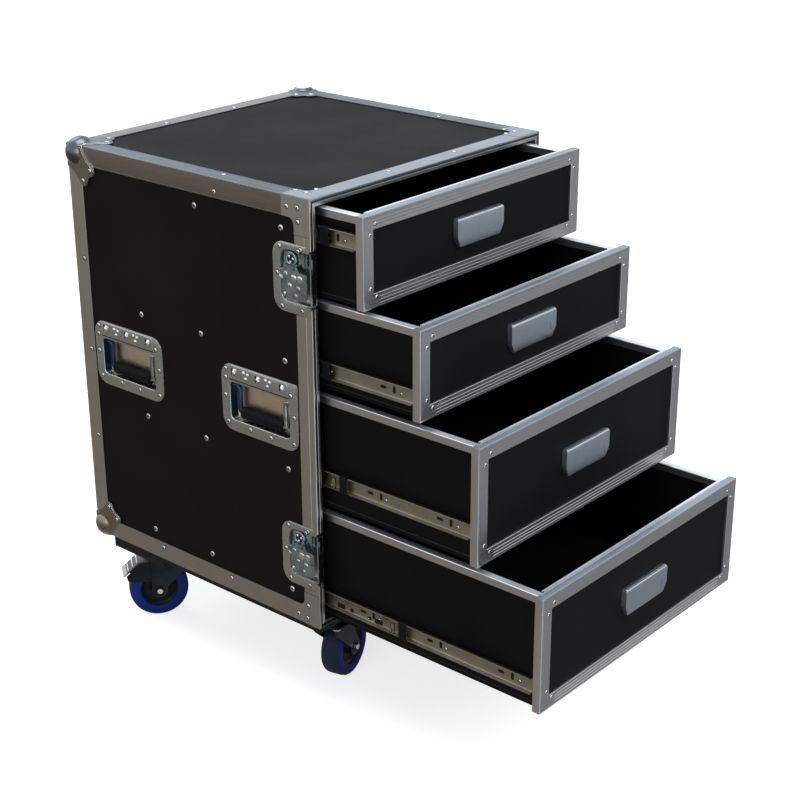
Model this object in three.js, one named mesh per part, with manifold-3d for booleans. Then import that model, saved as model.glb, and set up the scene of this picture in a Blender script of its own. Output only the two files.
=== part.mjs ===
// A road case with four drawers: a plywood cabinet edged in aluminium, on swivel casters.
// Each drawer runs on a pair of three-section telescopic slides and stands open by its own amount.
// Millimetres, +Z up. The drawers open towards -Y, and left is -X.
// The origin is on the floor, under the middle of the whole object as it stands.

import * as THREE from 'three';
import { mergeVertices } from 'three/addons/utils/BufferGeometryUtils.js';
import Module from 'manifold-3d';

const wasm = await Module();
wasm.setup();

// Fits that every piece shares.
const fit_gap = 0.3;
const overrun = 2;
const weld = 1e-4;

// Facets of round stretches.
const corner_steps = 2;
const disc_steps = 6;
const lobe_steps = 3;
const ball_steps = 12;
const brace_steps = 1;
const wheel_steps = 20;

// The cabinet.
const rack_row = 44.45;
const front_play = 0.8;
const front_width = 500;
const front_side_gap = 1.2;
const top_play = 0.5;
const rear_room = 32;
const ply_thick = 9.5;
const flange_width = 30.5;
const flange_thick = 1.5;
const closed_setback = 8;

// Each drawer's gap below it, its slides' height above its floor, how far its slides' middle members
// stand out of the cabinet, and how far its box stands out of those.
const gap_below_4 = 1.2;
const rail_rise_4 = 36;
const rail_out_4 = 181.7;
const box_out_4 = 225.3;
const gap_below_3 = 9;
const rail_rise_3 = 49.5;
const rail_out_3 = 70.6;
const box_out_3 = 225.3;
const gap_below_2 = 9.5;
const rail_rise_2 = 33.5;
const rail_out_2 = 42.5;
const box_out_2 = 151.5;
const gap_below_1 = 4.5;
const rail_rise_1 = 94.5;
const rail_out_1 = 44;
const box_out_1 = 50;

// The drawers from the bottom up.
const drawer_stack = [
  {
    name: 'drawer_4',
    rows: 4,
    gap: gap_below_4,
    rise: rail_rise_4,
    rail_out: rail_out_4,
    box_out: box_out_4,
  },
  {
    name: 'drawer_3',
    rows: 4,
    gap: gap_below_3,
    rise: rail_rise_3,
    rail_out: rail_out_3,
    box_out: box_out_3,
  },
  {
    name: 'drawer_2',
    rows: 3,
    gap: gap_below_2,
    rise: rail_rise_2,
    rail_out: rail_out_2,
    box_out: box_out_2,
  },
  {
    name: 'drawer_1',
    rows: 3,
    gap: gap_below_1,
    rise: rail_rise_1,
    rail_out: rail_out_1,
    box_out: box_out_1,
  },
];

// The front rim: a lip, a groove that takes the tongue of a lid, and a tongue of its own.
const lip_width = 4;
const lip_thick = 2;
const groove_end = 8;
const groove_depth = 8;
const rim_web_thick = 1.5;

// The riveted braces at the rim's corners.
const brace_thick = 1.2;
const brace_inset = 6;
const brace_leg = 20;
const brace_reach = 54;
const brace_round = 8;

// The ball corners at the back.
const ball_inset = 15;
const ball_radius = 24.6;
const leaf_thick = 1.5;
const leaf_root = 36;
const leaf_lobe_far = 54;
const leaf_lobe_near = 36;
const leaf_lobe_radius = 9;

// The slides: an outer channel on the cabinet, a middle one, and an inner one on the drawer.
const slide_room = 12.7;
const rail_length = 450;
const outer_rail_setback = 23;
const outer_rail_half = 22.5;
const outer_rail_thick = 1.2;
const outer_rail_width = 10.2;
const mid_rail_half = 17;
const mid_rail_thick = 1;
const mid_rail_gap = 0.4;
const mid_rail_width = 8.6;
const bumper_length = 17;
const bumper_thick = 2.2;
const inner_rail_half = 14;
const inner_rail_thick = 1.2;
const inner_rail_width = 9.6;
const inner_rail_setback = 2.2;

// The drawers' boxes and fronts.
const box_wall = 9.5;
const box_floor = 7;
const cap_height = 14.7;
const cap_thick = 1.2;
const frame_flange = 21;
const frame_thick = 3.5;
const frame_depth = 13;
const frame_skin = 1.5;
const rib_groove = 2.2;
const rib_groove_depth = 0.75;
const rib_first = 4.2;
const rib_pitch = 5.2;
const rib_count = 3;

// The cup pulls.
const pull_width = 107;
const pull_height = 43;
const pull_depth = 8.5;
const pull_thick = 1.6;
const pull_round = 5;
const pull_lip_width = 90;
const pull_taper_height = 15;

// The recessed handles in the sides.
const dish_edge_room = 2.75;
const dish_width = 158.5;
const dish_height = 107.5;
const dish_round = 22;
const dish_thick = 1.5;
const pan_width = 123;
const pan_low = 35.2;
const pan_high = 24.8;
const pan_depth = 15;
const pan_wall = 1.2;
const pan_round = 7;
const band_below_top = 11.15;
const band_half = 9.5;
const band_proud = 3.5;
const band_width = 118;
const knuckle_proud = 5.5;
const knuckle_width = 13;
const knuckle_pitch = 49.8;
const bail_axis_below = 6;
const bail_rod = 3.75;
const bail_end_room = 7.5;
const bail_bend = 7;
const bail_pin_past = 2.5;
const bail_pin_room = 0.6;
const grip_half_height = 9.8;
const grip_half_depth = 6.9;
const grip_end_room = 11;
const grip_low_room = 3.2;
const grip_back_room = 0.8;
const bail_sides = 4;
const bail_steps = 24;

// The recessed twist latches at the front edge.
const latch_below_top = 119.4;
const latch_above_bottom = 112.8;
const latch_width = 74.5;
const latch_half_height = 51.25;
const latch_round = 20;
const latch_pan_width = 60;
const latch_pan_low = 35;
const latch_pan_high = 41.5;
const latch_pan_depth = 10;
const latch_pan_wall = 1;
const latch_pan_round = 14;
const boss_before_back = 20.3;
const boss_below_top = 13.5;
const boss_radius = 10.5;
const boss_head = 3.4;
const boss_sunk = 0.5;
const shaft_radius = 5;
const hook_depth = 5;
const hook_thick = 2;
const hook_half_width = 9;
const hook_front = 13;
const hook_travel = 8;
const hook_end = 3;
const hook_lip = 4;
const wing_lift = 1.2;
const wing_thick = 1.5;
const wing_front = 6;
const wing_back_room = 7;
const wing_axis_below_boss = 9;
const wing_top_past = 1;
const wing_end_room = 6;
const wing_round = 9;
const ear_half = 8.5;
const ear_width = 3;
const ear_height = 5;
const ear_proud = 1;
const ear_notch = 5;

// The boards under the cabinet and the casters' plates.
const base_board_thick = 9;
const base_board_inset = 3;
const base_board_rear_inset = 38.3;
const batten_thick = 10;
const front_batten = 108;
const rear_batten = 122;
const plate_length = 95;
const plate_width = 80;
const plate_thick = 3;
const plate_round = 8;

// The casters.
const pivot_inset = 80;
const front_pivot = 50;
const rear_pivot_inset = 106.3;
const axle_drop = 78;
const axle_offset = 35;
const wheel_radius = 50;
const tread_half = 16;
const hub_half = 18;
const hub_radius = 13;
const core_radius = 31;
const core_half = 12;
const tread_shoulder = 5;
const axle_radius = 6;
const bore_radius = 6.4;
const race_radius = 24;
const race_drop = 5;
const kingpin_radius = 8;
const cup_radius = 29;
const cup_height = 8;
const cheek_thick = 3;
const crown_thick = 3;
const crown_back = 24;
const crown_front = 28;
const axle_boss = 13;
const bolt_radius = 9;
const bolt_head = 5;
const pedal_pivot_x = 44;
const pedal_pivot_drop = 22.5;
const pedal_ear = 6;
const pedal_thick = 3;
const pedal_rod = 3.5;
const pedal_knee = 22;
const pedal_knee_drop = 1.5;
const pedal_reach = 50;
const pedal_fall = 24;

// Where each caster is and which way its wheel trails, in degrees from +X.
const caster_places = [
  { name: 'front_left', side: -1, rear: false, swivel: 14 },
  { name: 'front_right', side: 1, rear: false, swivel: 166 },
  { name: 'rear_left', side: -1, rear: true, swivel: 144.5 },
  { name: 'rear_right', side: 1, rear: true, swivel: 104 },
];

// Sizes that follow from the ones above.
const wall_depth = flange_thick + fit_gap + ply_thick;
const case_width = front_width + 2 * (front_side_gap + wall_depth);
const half_width = case_width / 2;
const case_depth = outer_rail_setback + rail_length + rear_room + wall_depth;
let level = wall_depth;
for (const drawer of drawer_stack) {
  drawer.floor = level + drawer.gap;
  drawer.height = drawer.rows * rack_row - front_play;
  level = drawer.floor + drawer.height;
}
const case_height = level + top_play + wall_depth;
const rim_back = groove_depth + rim_web_thick;
const board_face = flange_thick + fit_gap;
const front_board_face = frame_thick + fit_gap;
const front_board_back = front_board_face + ply_thick;
const box_back = front_board_back + rail_length;
const slide_inner = half_width - wall_depth;
const box_half = slide_inner - slide_room;
const mid_rail_start = closed_setback + front_board_back + fit_gap;
const pull_face = front_board_face - fit_gap - pull_depth;
const base_board_back = case_depth - base_board_rear_inset;
const board_under = fit_gap + base_board_thick + batten_thick;
const lift = board_under + axle_drop + wheel_radius;
const latch_levels = { upper: case_height - latch_below_top, lower: latch_above_bottom };
const bail_axis_rise = pan_high - bail_axis_below;
const bail_axis_depth = pan_depth - grip_half_depth - grip_back_room;
const bail_half_span = pan_width / 2 - bail_end_room;
const bail_drop = bail_axis_rise + pan_low - grip_half_height - grip_low_room;
const grip_half_length = bail_half_span - grip_end_room;
const band_rise = dish_height / 2 - band_below_top;
const boss_setback = latch_pan_width - boss_before_back;
const boss_rise = latch_pan_high - boss_below_top;
const wing_back = latch_pan_width - wing_back_room;
const wing_axis_rise = boss_rise - wing_axis_below_boss;
const wing_length = wing_axis_rise + latch_pan_low - wing_end_room;
const handle_setback = flange_width + dish_edge_room + dish_width / 2;
const handle_levels = { front: handle_setback, rear: case_depth - handle_setback };
const fork_inner = hub_half + fit_gap;
const fork_outer = fork_inner + cheek_thick;
const bottom_drawer = drawer_stack[0];
const rest_front = closed_setback - bottom_drawer.rail_out - bottom_drawer.box_out + pull_face;
const rest_back = case_depth - ball_inset + ball_radius;
const centre_y = (rest_front + rest_back) / 2;

// Finishes.
const finishes = {
  board: { color: 0x17130f, roughness: 0.55, metalness: 0 },
  lid_board: { color: 0x35363a, roughness: 0.5, metalness: 0 },
  raw_board: { color: 0x1c1815, roughness: 0.8, metalness: 0 },
  aluminium: { color: 0xa9aaab, roughness: 0.35, metalness: 1 },
  zinc: { color: 0xb9c0c8, roughness: 0.3, metalness: 1 },
  satin: { color: 0x9c9fa4, roughness: 0.4, metalness: 1 },
  slide_steel: { color: 0xa3a6a8, roughness: 0.35, metalness: 1 },
  box: { color: 0x0c0f14, roughness: 0.6, metalness: 0 },
  tyre: { color: 0x16306e, roughness: 0.6, metalness: 0 },
};

const case_group = new THREE.Group();
case_group.position.set(0, -centre_y, lift);

function add(parent, name, shape, finish) {
  const geometry = shape.isBufferGeometry ? shape : geometry_of(shape);
  const mesh = new THREE.Mesh(geometry, new THREE.MeshStandardMaterial(finishes[finish]));
  mesh.name = name;
  parent.add(mesh);
  return mesh;
}

// Solids and what is done with them.
function solid(geometry) {
  const bare = geometry.index ? geometry.toNonIndexed() : geometry.clone();
  bare.deleteAttribute('normal');
  bare.deleteAttribute('uv');
  const merged = mergeVertices(bare, weld);
  const vertProperties = merged.attributes.position.array;
  const triVerts = new Uint32Array(merged.index.array);
  return new wasm.Manifold(new wasm.Mesh({ numProp: 3, vertProperties, triVerts }));
}

function geometry_of(body) {
  const mesh = body.getMesh();
  const geometry = new THREE.BufferGeometry();
  geometry.setAttribute('position', new THREE.BufferAttribute(mesh.vertProperties, 3));
  geometry.setIndex(new THREE.BufferAttribute(mesh.triVerts, 1));
  geometry.computeVertexNormals();
  return geometry;
}

function joined(bodies) {
  return bodies.reduce((whole, body) => whole.add(body));
}

function cut(body, tools) {
  return tools.reduce((rest, tool) => rest.subtract(tool), body);
}

// A block between two places on each axis, in either order.
function block([xa, xb], [ya, yb], [za, zb]) {
  const box = new THREE.BoxGeometry(Math.abs(xb - xa), Math.abs(yb - ya), Math.abs(zb - za));
  box.translate((xa + xb) / 2, (ya + yb) / 2, (za + zb) / 2);
  return solid(box);
}

const axis_x = new THREE.Vector3(1, 0, 0);
const axis_y = new THREE.Vector3(0, 1, 0);
const axis_z = new THREE.Vector3(0, 0, 1);

function extrusion(shape, length, steps, basis) {
  const options = { depth: length, bevelEnabled: false, curveSegments: steps };
  return new THREE.ExtrudeGeometry(shape, options).applyMatrix4(basis);
}

// An outline in Y and Z, carried along X between two places.
function along_x(shape, xa, xb, steps = corner_steps) {
  const basis = new THREE.Matrix4().makeBasis(axis_y, axis_z, axis_x);
  const geometry = extrusion(shape, Math.abs(xb - xa), steps, basis);
  return solid(geometry.translate(Math.min(xa, xb), 0, 0));
}

// An outline in X and Z, carried along Y between two places.
function along_y(shape, ya, yb, steps = corner_steps) {
  const basis = new THREE.Matrix4().makeBasis(axis_x, axis_z, axis_y.clone().negate());
  const geometry = extrusion(shape, Math.abs(yb - ya), steps, basis);
  return solid(geometry.translate(0, Math.max(ya, yb), 0));
}

// An outline in X and Y, carried along Z between two places.
function along_z(shape, za, zb, steps = corner_steps) {
  const geometry = extrusion(shape, Math.abs(zb - za), steps, new THREE.Matrix4());
  return solid(geometry.translate(0, 0, Math.min(za, zb)));
}

// A rectangle whose low-u and high-u corners have their own radii.
function rounded([ua, ub], [va, vb], radius_low, radius_high = radius_low) {
  const shape = new THREE.Shape();
  const right = Math.PI / 2;
  shape.moveTo(ua + radius_low, va);
  shape.lineTo(ub - radius_high, va);
  if (radius_high > 0) shape.absarc(ub - radius_high, va + radius_high, radius_high, -right, 0);
  shape.lineTo(ub, vb - radius_high);
  if (radius_high > 0) shape.absarc(ub - radius_high, vb - radius_high, radius_high, 0, right);
  shape.lineTo(ua + radius_low, vb);
  if (radius_low > 0) shape.absarc(ua + radius_low, vb - radius_low, radius_low, right, 2 * right);
  shape.lineTo(ua, va + radius_low);
  if (radius_low > 0) shape.absarc(ua + radius_low, va + radius_low, radius_low, 2 * right, 3 * right);
  return shape;
}

function disc(u, v, radius) {
  return new THREE.Shape().absarc(u, v, radius, 0, 2 * Math.PI);
}

function polygon(points) {
  return new THREE.Shape(points.map(([u, v]) => new THREE.Vector2(u, v)));
}

// The cabinet's outline seen from the front, drawn in by one inset and open from a second one.
function ring(inset, inner) {
  const shape = new THREE.Shape();
  shape.moveTo(inset - half_width, inset);
  shape.lineTo(half_width - inset, inset);
  shape.lineTo(half_width - inset, case_height - inset);
  shape.lineTo(inset - half_width, case_height - inset);
  const hole = new THREE.Path();
  hole.moveTo(inner - half_width, inner);
  hole.lineTo(inner - half_width, case_height - inner);
  hole.lineTo(half_width - inner, case_height - inner);
  hole.lineTo(half_width - inner, inner);
  shape.holes.push(hole);
  return shape;
}

// The whole front rim, before the latches cut it.
function whole_rim() {
  return joined([
    along_y(ring(0, flange_thick), 0, flange_width),
    along_y(ring(0, lip_width), 0, lip_thick),
    along_y(ring(0, wall_depth), groove_depth, rim_back),
    along_y(ring(groove_end, wall_depth), 0, rim_back),
  ]);
}

// What one latch takes out of the rim: its plate's seat and its pan's way to the front.
function latch_notches(side, z) {
  const outside = side * (half_width + overrun);
  const seat = [z - latch_half_height - fit_gap, z + latch_half_height + fit_gap];
  const way = [z - latch_pan_low - fit_gap, z + latch_pan_high + fit_gap];
  return [
    block([outside, side * (half_width - board_face)], [-overrun, flange_width + overrun], seat),
    block([outside, side * (slide_inner - overrun)], [-overrun, flange_width + overrun], way),
  ];
}

function all_latch_notches(side) {
  return Object.values(latch_levels).flatMap((z) => latch_notches(side, z));
}

// The stretch of a side where the rim belongs to the side's board.
function between_latches(side) {
  return block(
    [side * (half_width + overrun), side * (slide_inner - overrun)],
    [-overrun, flange_width + overrun],
    [latch_levels.lower, latch_levels.upper],
  );
}

// Two flanges at right angles along one edge of the cabinet.
function edge_angles() {
  const angles = [];
  const whole_x = [-half_width, half_width];
  const whole_y = [0, case_depth];
  const whole_z = [0, case_height];
  const back_flange = [case_depth - flange_width, case_depth];
  const back_skin = [case_depth - flange_thick, case_depth];
  const ends = [
    { flange: [0, flange_width], skin: [0, flange_thick] },
    {
      flange: [case_height - flange_width, case_height],
      skin: [case_height - flange_thick, case_height],
    },
  ];
  for (const side of [-1, 1]) {
    const side_flange = [side * (half_width - flange_width), side * half_width];
    const side_skin = [side * (half_width - flange_thick), side * half_width];
    for (const end of ends) {
      angles.push(block(side_flange, whole_y, end.skin));
      angles.push(block(side_skin, whole_y, end.flange));
    }
    angles.push(block(side_skin, back_flange, whole_z));
    angles.push(block(side_flange, back_skin, whole_z));
  }
  for (const end of ends) {
    angles.push(block(whole_x, back_flange, end.skin));
    angles.push(block(whole_x, back_skin, end.flange));
  }
  return angles;
}

// A ball corner's leaf: two riveted lobes joined to the ball's root. u and v run away from the corner.
function leaf(u_corner, u_sign, v_corner, v_sign, carry, from, to) {
  const place = (u, v) => [u_corner + u_sign * u, v_corner + v_sign * v];
  const shoulder = leaf_lobe_radius * Math.cos(Math.PI / 6);
  const tuck = leaf_lobe_radius / 2;
  const outline = [
    place(0, 0),
    place(leaf_root, 0),
    place(leaf_lobe_far + shoulder, leaf_lobe_near - tuck),
    place(leaf_lobe_far, leaf_lobe_near),
    place(leaf_lobe_near, leaf_lobe_far),
    place(leaf_lobe_near - tuck, leaf_lobe_far + shoulder),
    place(0, leaf_root),
  ];
  const lobe_a = disc(...place(leaf_lobe_far, leaf_lobe_near), leaf_lobe_radius);
  const lobe_b = disc(...place(leaf_lobe_near, leaf_lobe_far), leaf_lobe_radius);
  return joined([
    carry(polygon(outline), from, to),
    carry(lobe_a, from, to, lobe_steps),
    carry(lobe_b, from, to, lobe_steps),
  ]);
}

function ball_corner(side, top) {
  const up = top ? -1 : 1;
  const z_face = top ? case_height : 0;
  const sphere = new THREE.SphereGeometry(ball_radius, ball_steps, ball_steps / 2);
  sphere.translate(side * (half_width - ball_inset), case_depth - ball_inset, z_face + up * ball_inset);
  const inside = block(
    [flange_thick - half_width, half_width - flange_thick],
    [0, case_depth - flange_thick],
    [flange_thick, case_height - flange_thick],
  );
  const shell = solid(sphere).subtract(inside);
  const x_face = side * half_width;
  const leaves = [
    leaf(case_depth, -1, z_face, up, along_x, x_face, x_face + side * leaf_thick),
    leaf(x_face, -side, z_face, up, along_y, case_depth, case_depth + leaf_thick),
  ];
  const leaf_top = case_height + leaf_thick;
  if (top) leaves.push(leaf(x_face, -side, case_depth, -1, along_z, case_height, leaf_top));
  return joined([shell, ...leaves]);
}

// A riveted brace where the rim's members meet, with one leg along each of them.
function brace(side, top) {
  const z_face = top ? case_height : 0;
  const up = top ? -1 : 1;
  const x_face = side * half_width;
  const whole = [brace_inset, brace_reach];
  const leg = [brace_inset, brace_inset + brace_leg];
  const legs = (sign_u, corner_u, sign_v, corner_v) => {
    const span = (sign, corner, ends) => ends.map((end) => corner + sign * end).sort((a, b) => a - b);
    const across = (ends) => span(sign_u, corner_u, ends);
    const up_or_down = (ends) => span(sign_v, corner_v, ends);
    return [
      rounded(across(whole), up_or_down(leg), brace_round),
      rounded(across(leg), up_or_down(whole), brace_round),
    ];
  };
  const side_end = x_face + side * brace_thick;
  const on_side = legs(1, 0, up, z_face).map((shape) => along_x(shape, x_face, side_end, brace_steps));
  if (!top) return on_side;
  const top_end = z_face + brace_thick;
  const on_top = legs(-side, x_face, 1, 0).map((shape) => along_z(shape, z_face, top_end, brace_steps));
  return [...on_side, ...on_top];
}

function edge_frame() {
  const cuts = [-1, 1].flatMap((side) => [...all_latch_notches(side), between_latches(side)]);
  const pieces = [...edge_angles()];
  for (const side of [-1, 1]) {
    for (const top of [false, true]) {
      pieces.push(ball_corner(side, top), ...brace(side, top));
    }
  }
  return joined([cut(whole_rim(), cuts), ...pieces]);
}

// A channel that lies along Y: its web at one distance from the middle and its flanges towards another.
function channel(side, web, tip, half, thick, ya, yb, z) {
  const inward = Math.sign(tip - web);
  const span = [side * web, side * tip];
  return joined([
    block([side * web, side * (web + inward * thick)], [ya, yb], [z - half, z + half]),
    block(span, [ya, yb], [z + half - thick, z + half]),
    block(span, [ya, yb], [z - half, z - half + thick]),
  ]);
}

function outer_rail(side, z) {
  const [start, end] = [outer_rail_setback, outer_rail_setback + rail_length];
  const web = slide_inner;
  return channel(side, web, web - outer_rail_width, outer_rail_half, outer_rail_thick, start, end, z);
}

// A middle member, with a bumper inside its front end.
function mid_rail(side, z) {
  const web = slide_inner - outer_rail_thick - mid_rail_gap;
  const tip = web - mid_rail_width;
  const pads = [-1, 1].map((end) =>
    block(
      [side * web, side * tip],
      [0, bumper_length],
      [z + end * mid_rail_half, z + end * (mid_rail_half - bumper_thick)],
    ));
  return joined([channel(side, web, tip, mid_rail_half, mid_rail_thick, 0, rail_length, z), ...pads]);
}

function inner_rail(side, z) {
  const start = front_board_back + inner_rail_setback;
  const tip = box_half + inner_rail_width;
  return channel(side, box_half, tip, inner_rail_half, inner_rail_thick, start, box_back, z);
}

// The outline of a handle's pan, grown by a margin.
function pan_outline(y, z, grown, radius = pan_round + grown, pin_room = 0) {
  const half = pan_width / 2 + grown + pin_room;
  return rounded([y - half, y + half], [z - pan_low - grown, z + pan_high + grown], radius);
}

// The outline of a latch's pan, which is open to the front.
function latch_pan_outline(z, front, grown) {
  return rounded(
    [front, latch_pan_width + grown],
    [z - latch_pan_low - grown, z + latch_pan_high + grown],
    0,
    latch_pan_round + grown,
  );
}

function side_panel(side) {
  const face = side * (half_width - board_face);
  const inner = side * slide_inner;
  const through = [face + side * overrun, inner - side * overrun];
  const board = block(
    [face, inner],
    [rim_back + fit_gap, case_depth - board_face],
    [wall_depth + fit_gap, case_height - wall_depth - fit_gap],
  );
  const holes = [
    ...Object.values(handle_levels).map((y) =>
      along_x(pan_outline(y, case_height / 2, pan_wall + fit_gap, pan_wall, bail_pin_past), ...through)),
    ...Object.values(latch_levels).map((z) => along_x(latch_pan_outline(z, 0, fit_gap), ...through)),
  ];
  const seat = block(
    [face, inner],
    [groove_depth, rim_back + overrun],
    [latch_levels.lower, latch_levels.upper],
  );
  const rim = whole_rim().intersect(between_latches(side));
  const front = cut(rim.add(seat), all_latch_notches(side));
  const rails = drawer_stack.map((drawer) => outer_rail(side, drawer.floor + drawer.rise));
  return joined([cut(board, holes), front, ...rails]);
}

function flat_panel(z_face, z_inner) {
  const across = [board_face - half_width, half_width - board_face];
  return block(across, [rim_back + fit_gap, case_depth - board_face], [z_face, z_inner]);
}

function back_panel() {
  const across = [fit_gap - slide_inner, slide_inner - fit_gap];
  const deep = [case_depth - wall_depth, case_depth - board_face];
  return block(across, deep, [wall_depth + fit_gap, case_height - wall_depth - fit_gap]);
}

function caster_pivot({ side, rear }) {
  return [side * (half_width - pivot_inset), rear ? case_depth - rear_pivot_inset : front_pivot];
}

// The floor board, with the boards glued under it and the casters' plates screwed to those.
function bottom_board() {
  const across = [base_board_inset - half_width, half_width - base_board_inset];
  const inside = flange_width + fit_gap;
  const base_under = -fit_gap - base_board_thick;
  const boards = [
    flat_panel(board_face, wall_depth),
    block(
      [inside - half_width, half_width - inside],
      [inside, case_depth - inside],
      [-fit_gap - base_board_thick / 2, board_face + ply_thick / 2],
    ),
    block(across, [base_board_inset, base_board_back], [base_under, -fit_gap]),
    block(across, [base_board_inset, front_batten], [-board_under, base_under]),
    block(across, [base_board_back - rear_batten, base_board_back], [-board_under, base_under]),
  ];
  for (const place of caster_places) {
    const [x, y] = caster_pivot(place);
    const plate = rounded(
      [x - plate_width / 2, x + plate_width / 2],
      [y - plate_length / 2, y + plate_length / 2],
      plate_round,
    );
    const race_end = -board_under - plate_thick - race_drop;
    boards.push(along_z(plate, -board_under - plate_thick, -board_under));
    boards.push(along_z(disc(x, y, race_radius), race_end, -board_under, disc_steps));
    boards.push(along_z(disc(x, y, kingpin_radius), race_end - cup_height, -board_under, lobe_steps));
  }
  return joined(boards);
}

// A handle's dish: its plate lies on the board and its pan hangs through it.
function handle_dish(side, y) {
  const z = case_height / 2;
  const face = side * half_width;
  const skin = face - side * dish_thick;
  const plate = rounded(
    [y - dish_width / 2, y + dish_width / 2],
    [z - dish_height / 2, z + dish_height / 2],
    dish_round,
  );
  const floor = face - side * pan_depth;
  const pan = along_x(pan_outline(y, z, pan_wall), skin, floor - side * pan_wall);
  const half_bump = (middle, width, proud) => {
    const oval = new THREE.Shape().absellipse(face, z + band_rise, proud, band_half, 0, 2 * Math.PI);
    const outside = block(
      [face - side * dish_thick, face + side * (proud + overrun)],
      [middle - width, middle + width],
      [z, z + dish_height],
    );
    return along_y(oval, middle - width / 2, middle + width / 2, disc_steps).intersect(outside);
  };
  const bumps = [-1, 0, 1].map((step) =>
    half_bump(y + step * knuckle_pitch, knuckle_width, knuckle_proud));
  bumps.push(half_bump(y, band_width, band_proud));
  const body = joined([along_x(plate, face, skin), pan, ...bumps]);
  const hollow = along_x(pan_outline(y, z, 0), face + side * overrun, floor);
  const pin = disc(face - side * bail_axis_depth, z + bail_axis_rise, bail_rod + bail_pin_room);
  const reach = pan_width / 2 + pan_wall + overrun;
  return cut(body, [hollow, along_y(pin, y - reach, y + reach, disc_steps)]);
}

// The bent rod with its rubber grip, hung from pins in the pan's ends.
function bail(side, y) {
  const x = side * (half_width - bail_axis_depth);
  const top = case_height / 2 + bail_axis_rise;
  const low = top - bail_drop;
  const end = pan_width / 2 + pan_wall + bail_pin_past;
  const corner = (u, v) => new THREE.Vector3(x, y + u, v);
  const turns = [
    corner(-end, top),
    corner(-bail_half_span, top),
    corner(-bail_half_span, low),
    corner(bail_half_span, low),
    corner(bail_half_span, top),
    corner(end, top),
  ];
  const path = new THREE.CurvePath();
  let from = turns[0];
  for (let i = 1; i < turns.length - 1; i += 1) {
    const into = turns[i].clone().add(turns[i - 1].clone().sub(turns[i]).setLength(bail_bend));
    const away = turns[i].clone().add(turns[i + 1].clone().sub(turns[i]).setLength(bail_bend));
    path.add(new THREE.LineCurve3(from, into));
    path.add(new THREE.QuadraticBezierCurve3(into, turns[i], away));
    from = away;
  }
  path.add(new THREE.LineCurve3(from, turns[turns.length - 1]));
  const rod = solid(new THREE.ExtrudeGeometry(disc(0, 0, bail_rod), {
    steps: bail_steps,
    extrudePath: path,
    bevelEnabled: false,
    curveSegments: bail_sides,
  }));
  const oval = new THREE.Shape().absellipse(x, low, grip_half_depth, grip_half_height, 0, 2 * Math.PI);
  return rod.add(along_y(oval, y - grip_half_length, y + grip_half_length, disc_steps));
}

function latch_dish(side, z) {
  const face = side * half_width;
  const skin = face - side * flange_thick;
  const heights = [z - latch_half_height, z + latch_half_height];
  const plate = rounded([fit_gap, latch_width], heights, 0, latch_round);
  const floor = face - side * latch_pan_depth;
  const pan = latch_pan_outline(z, fit_gap, 0);
  const hollow = latch_pan_outline(z, -overrun, -latch_pan_wall);
  const body = along_x(plate, face, skin).add(along_x(pan, skin, floor - side * latch_pan_wall));
  return body.subtract(along_x(hollow, face + side * overrun, floor));
}

// The latch's turning barrel, with the two ears that its wing hangs from.
function latch_barrel(side, z) {
  const depth = (inset) => side * (half_width - inset);
  const centre = z + boss_rise;
  const head_end = boss_sunk + boss_head;
  const turned = (radius, end) =>
    along_x(disc(boss_setback, centre, radius), depth(boss_sunk), depth(end), disc_steps);
  const head = turned(boss_radius, head_end);
  const shaft = turned(shaft_radius, latch_pan_depth - fit_gap);
  const axis = z + wing_axis_rise;
  const ears = [-1, 1].map((end) =>
    block(
      [depth(head_end), depth(-wing_lift - wing_thick - ear_proud)],
      [boss_setback + end * ear_half - ear_width / 2, boss_setback + end * ear_half + ear_width / 2],
      [axis - ear_height / 2, axis + ear_height / 2],
    ));
  return joined([head, shaft, ...ears]);
}

// The hook plate that the barrel drives out of the front, with a slot for the barrel's shaft.
function latch_hook(side, z) {
  const depth = (inset) => side * (half_width - inset);
  const centre = z + boss_rise;
  const slot = shaft_radius + fit_gap;
  const back = boss_setback + slot + hook_travel;
  const heights = [centre - hook_half_width, centre + hook_half_width];
  const plate = rounded([hook_front, back + hook_end], heights, 0, hook_end);
  const hole = rounded([boss_setback - slot, back], [centre - slot, centre + slot], slot);
  const body = along_x(plate, depth(hook_depth), depth(hook_depth + hook_thick));
  const lip = block([depth(hook_depth - hook_lip), depth(hook_depth + hook_thick)],
    [hook_front, hook_front + hook_thick], heights);
  return body.add(lip).subtract(along_x(hole, depth(0), depth(latch_pan_depth)));
}

function latch_wing(side, z) {
  const depth = (inset) => side * (half_width - inset);
  const axis = z + wing_axis_rise;
  const plate = rounded([wing_front, wing_back], [axis - wing_length, axis + wing_top_past], wing_round);
  const body = along_x(plate, depth(-wing_lift), depth(-wing_lift - wing_thick));
  const notches = [-1, 1].map((end) =>
    block(
      [depth(0), depth(-wing_lift - wing_thick - overrun)],
      [
        boss_setback + end * ear_half - ear_width / 2 - fit_gap,
        boss_setback + end * ear_half + ear_width / 2 + fit_gap,
      ],
      [axis - ear_notch, axis + ear_height],
    ));
  return cut(body, notches);
}

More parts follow.
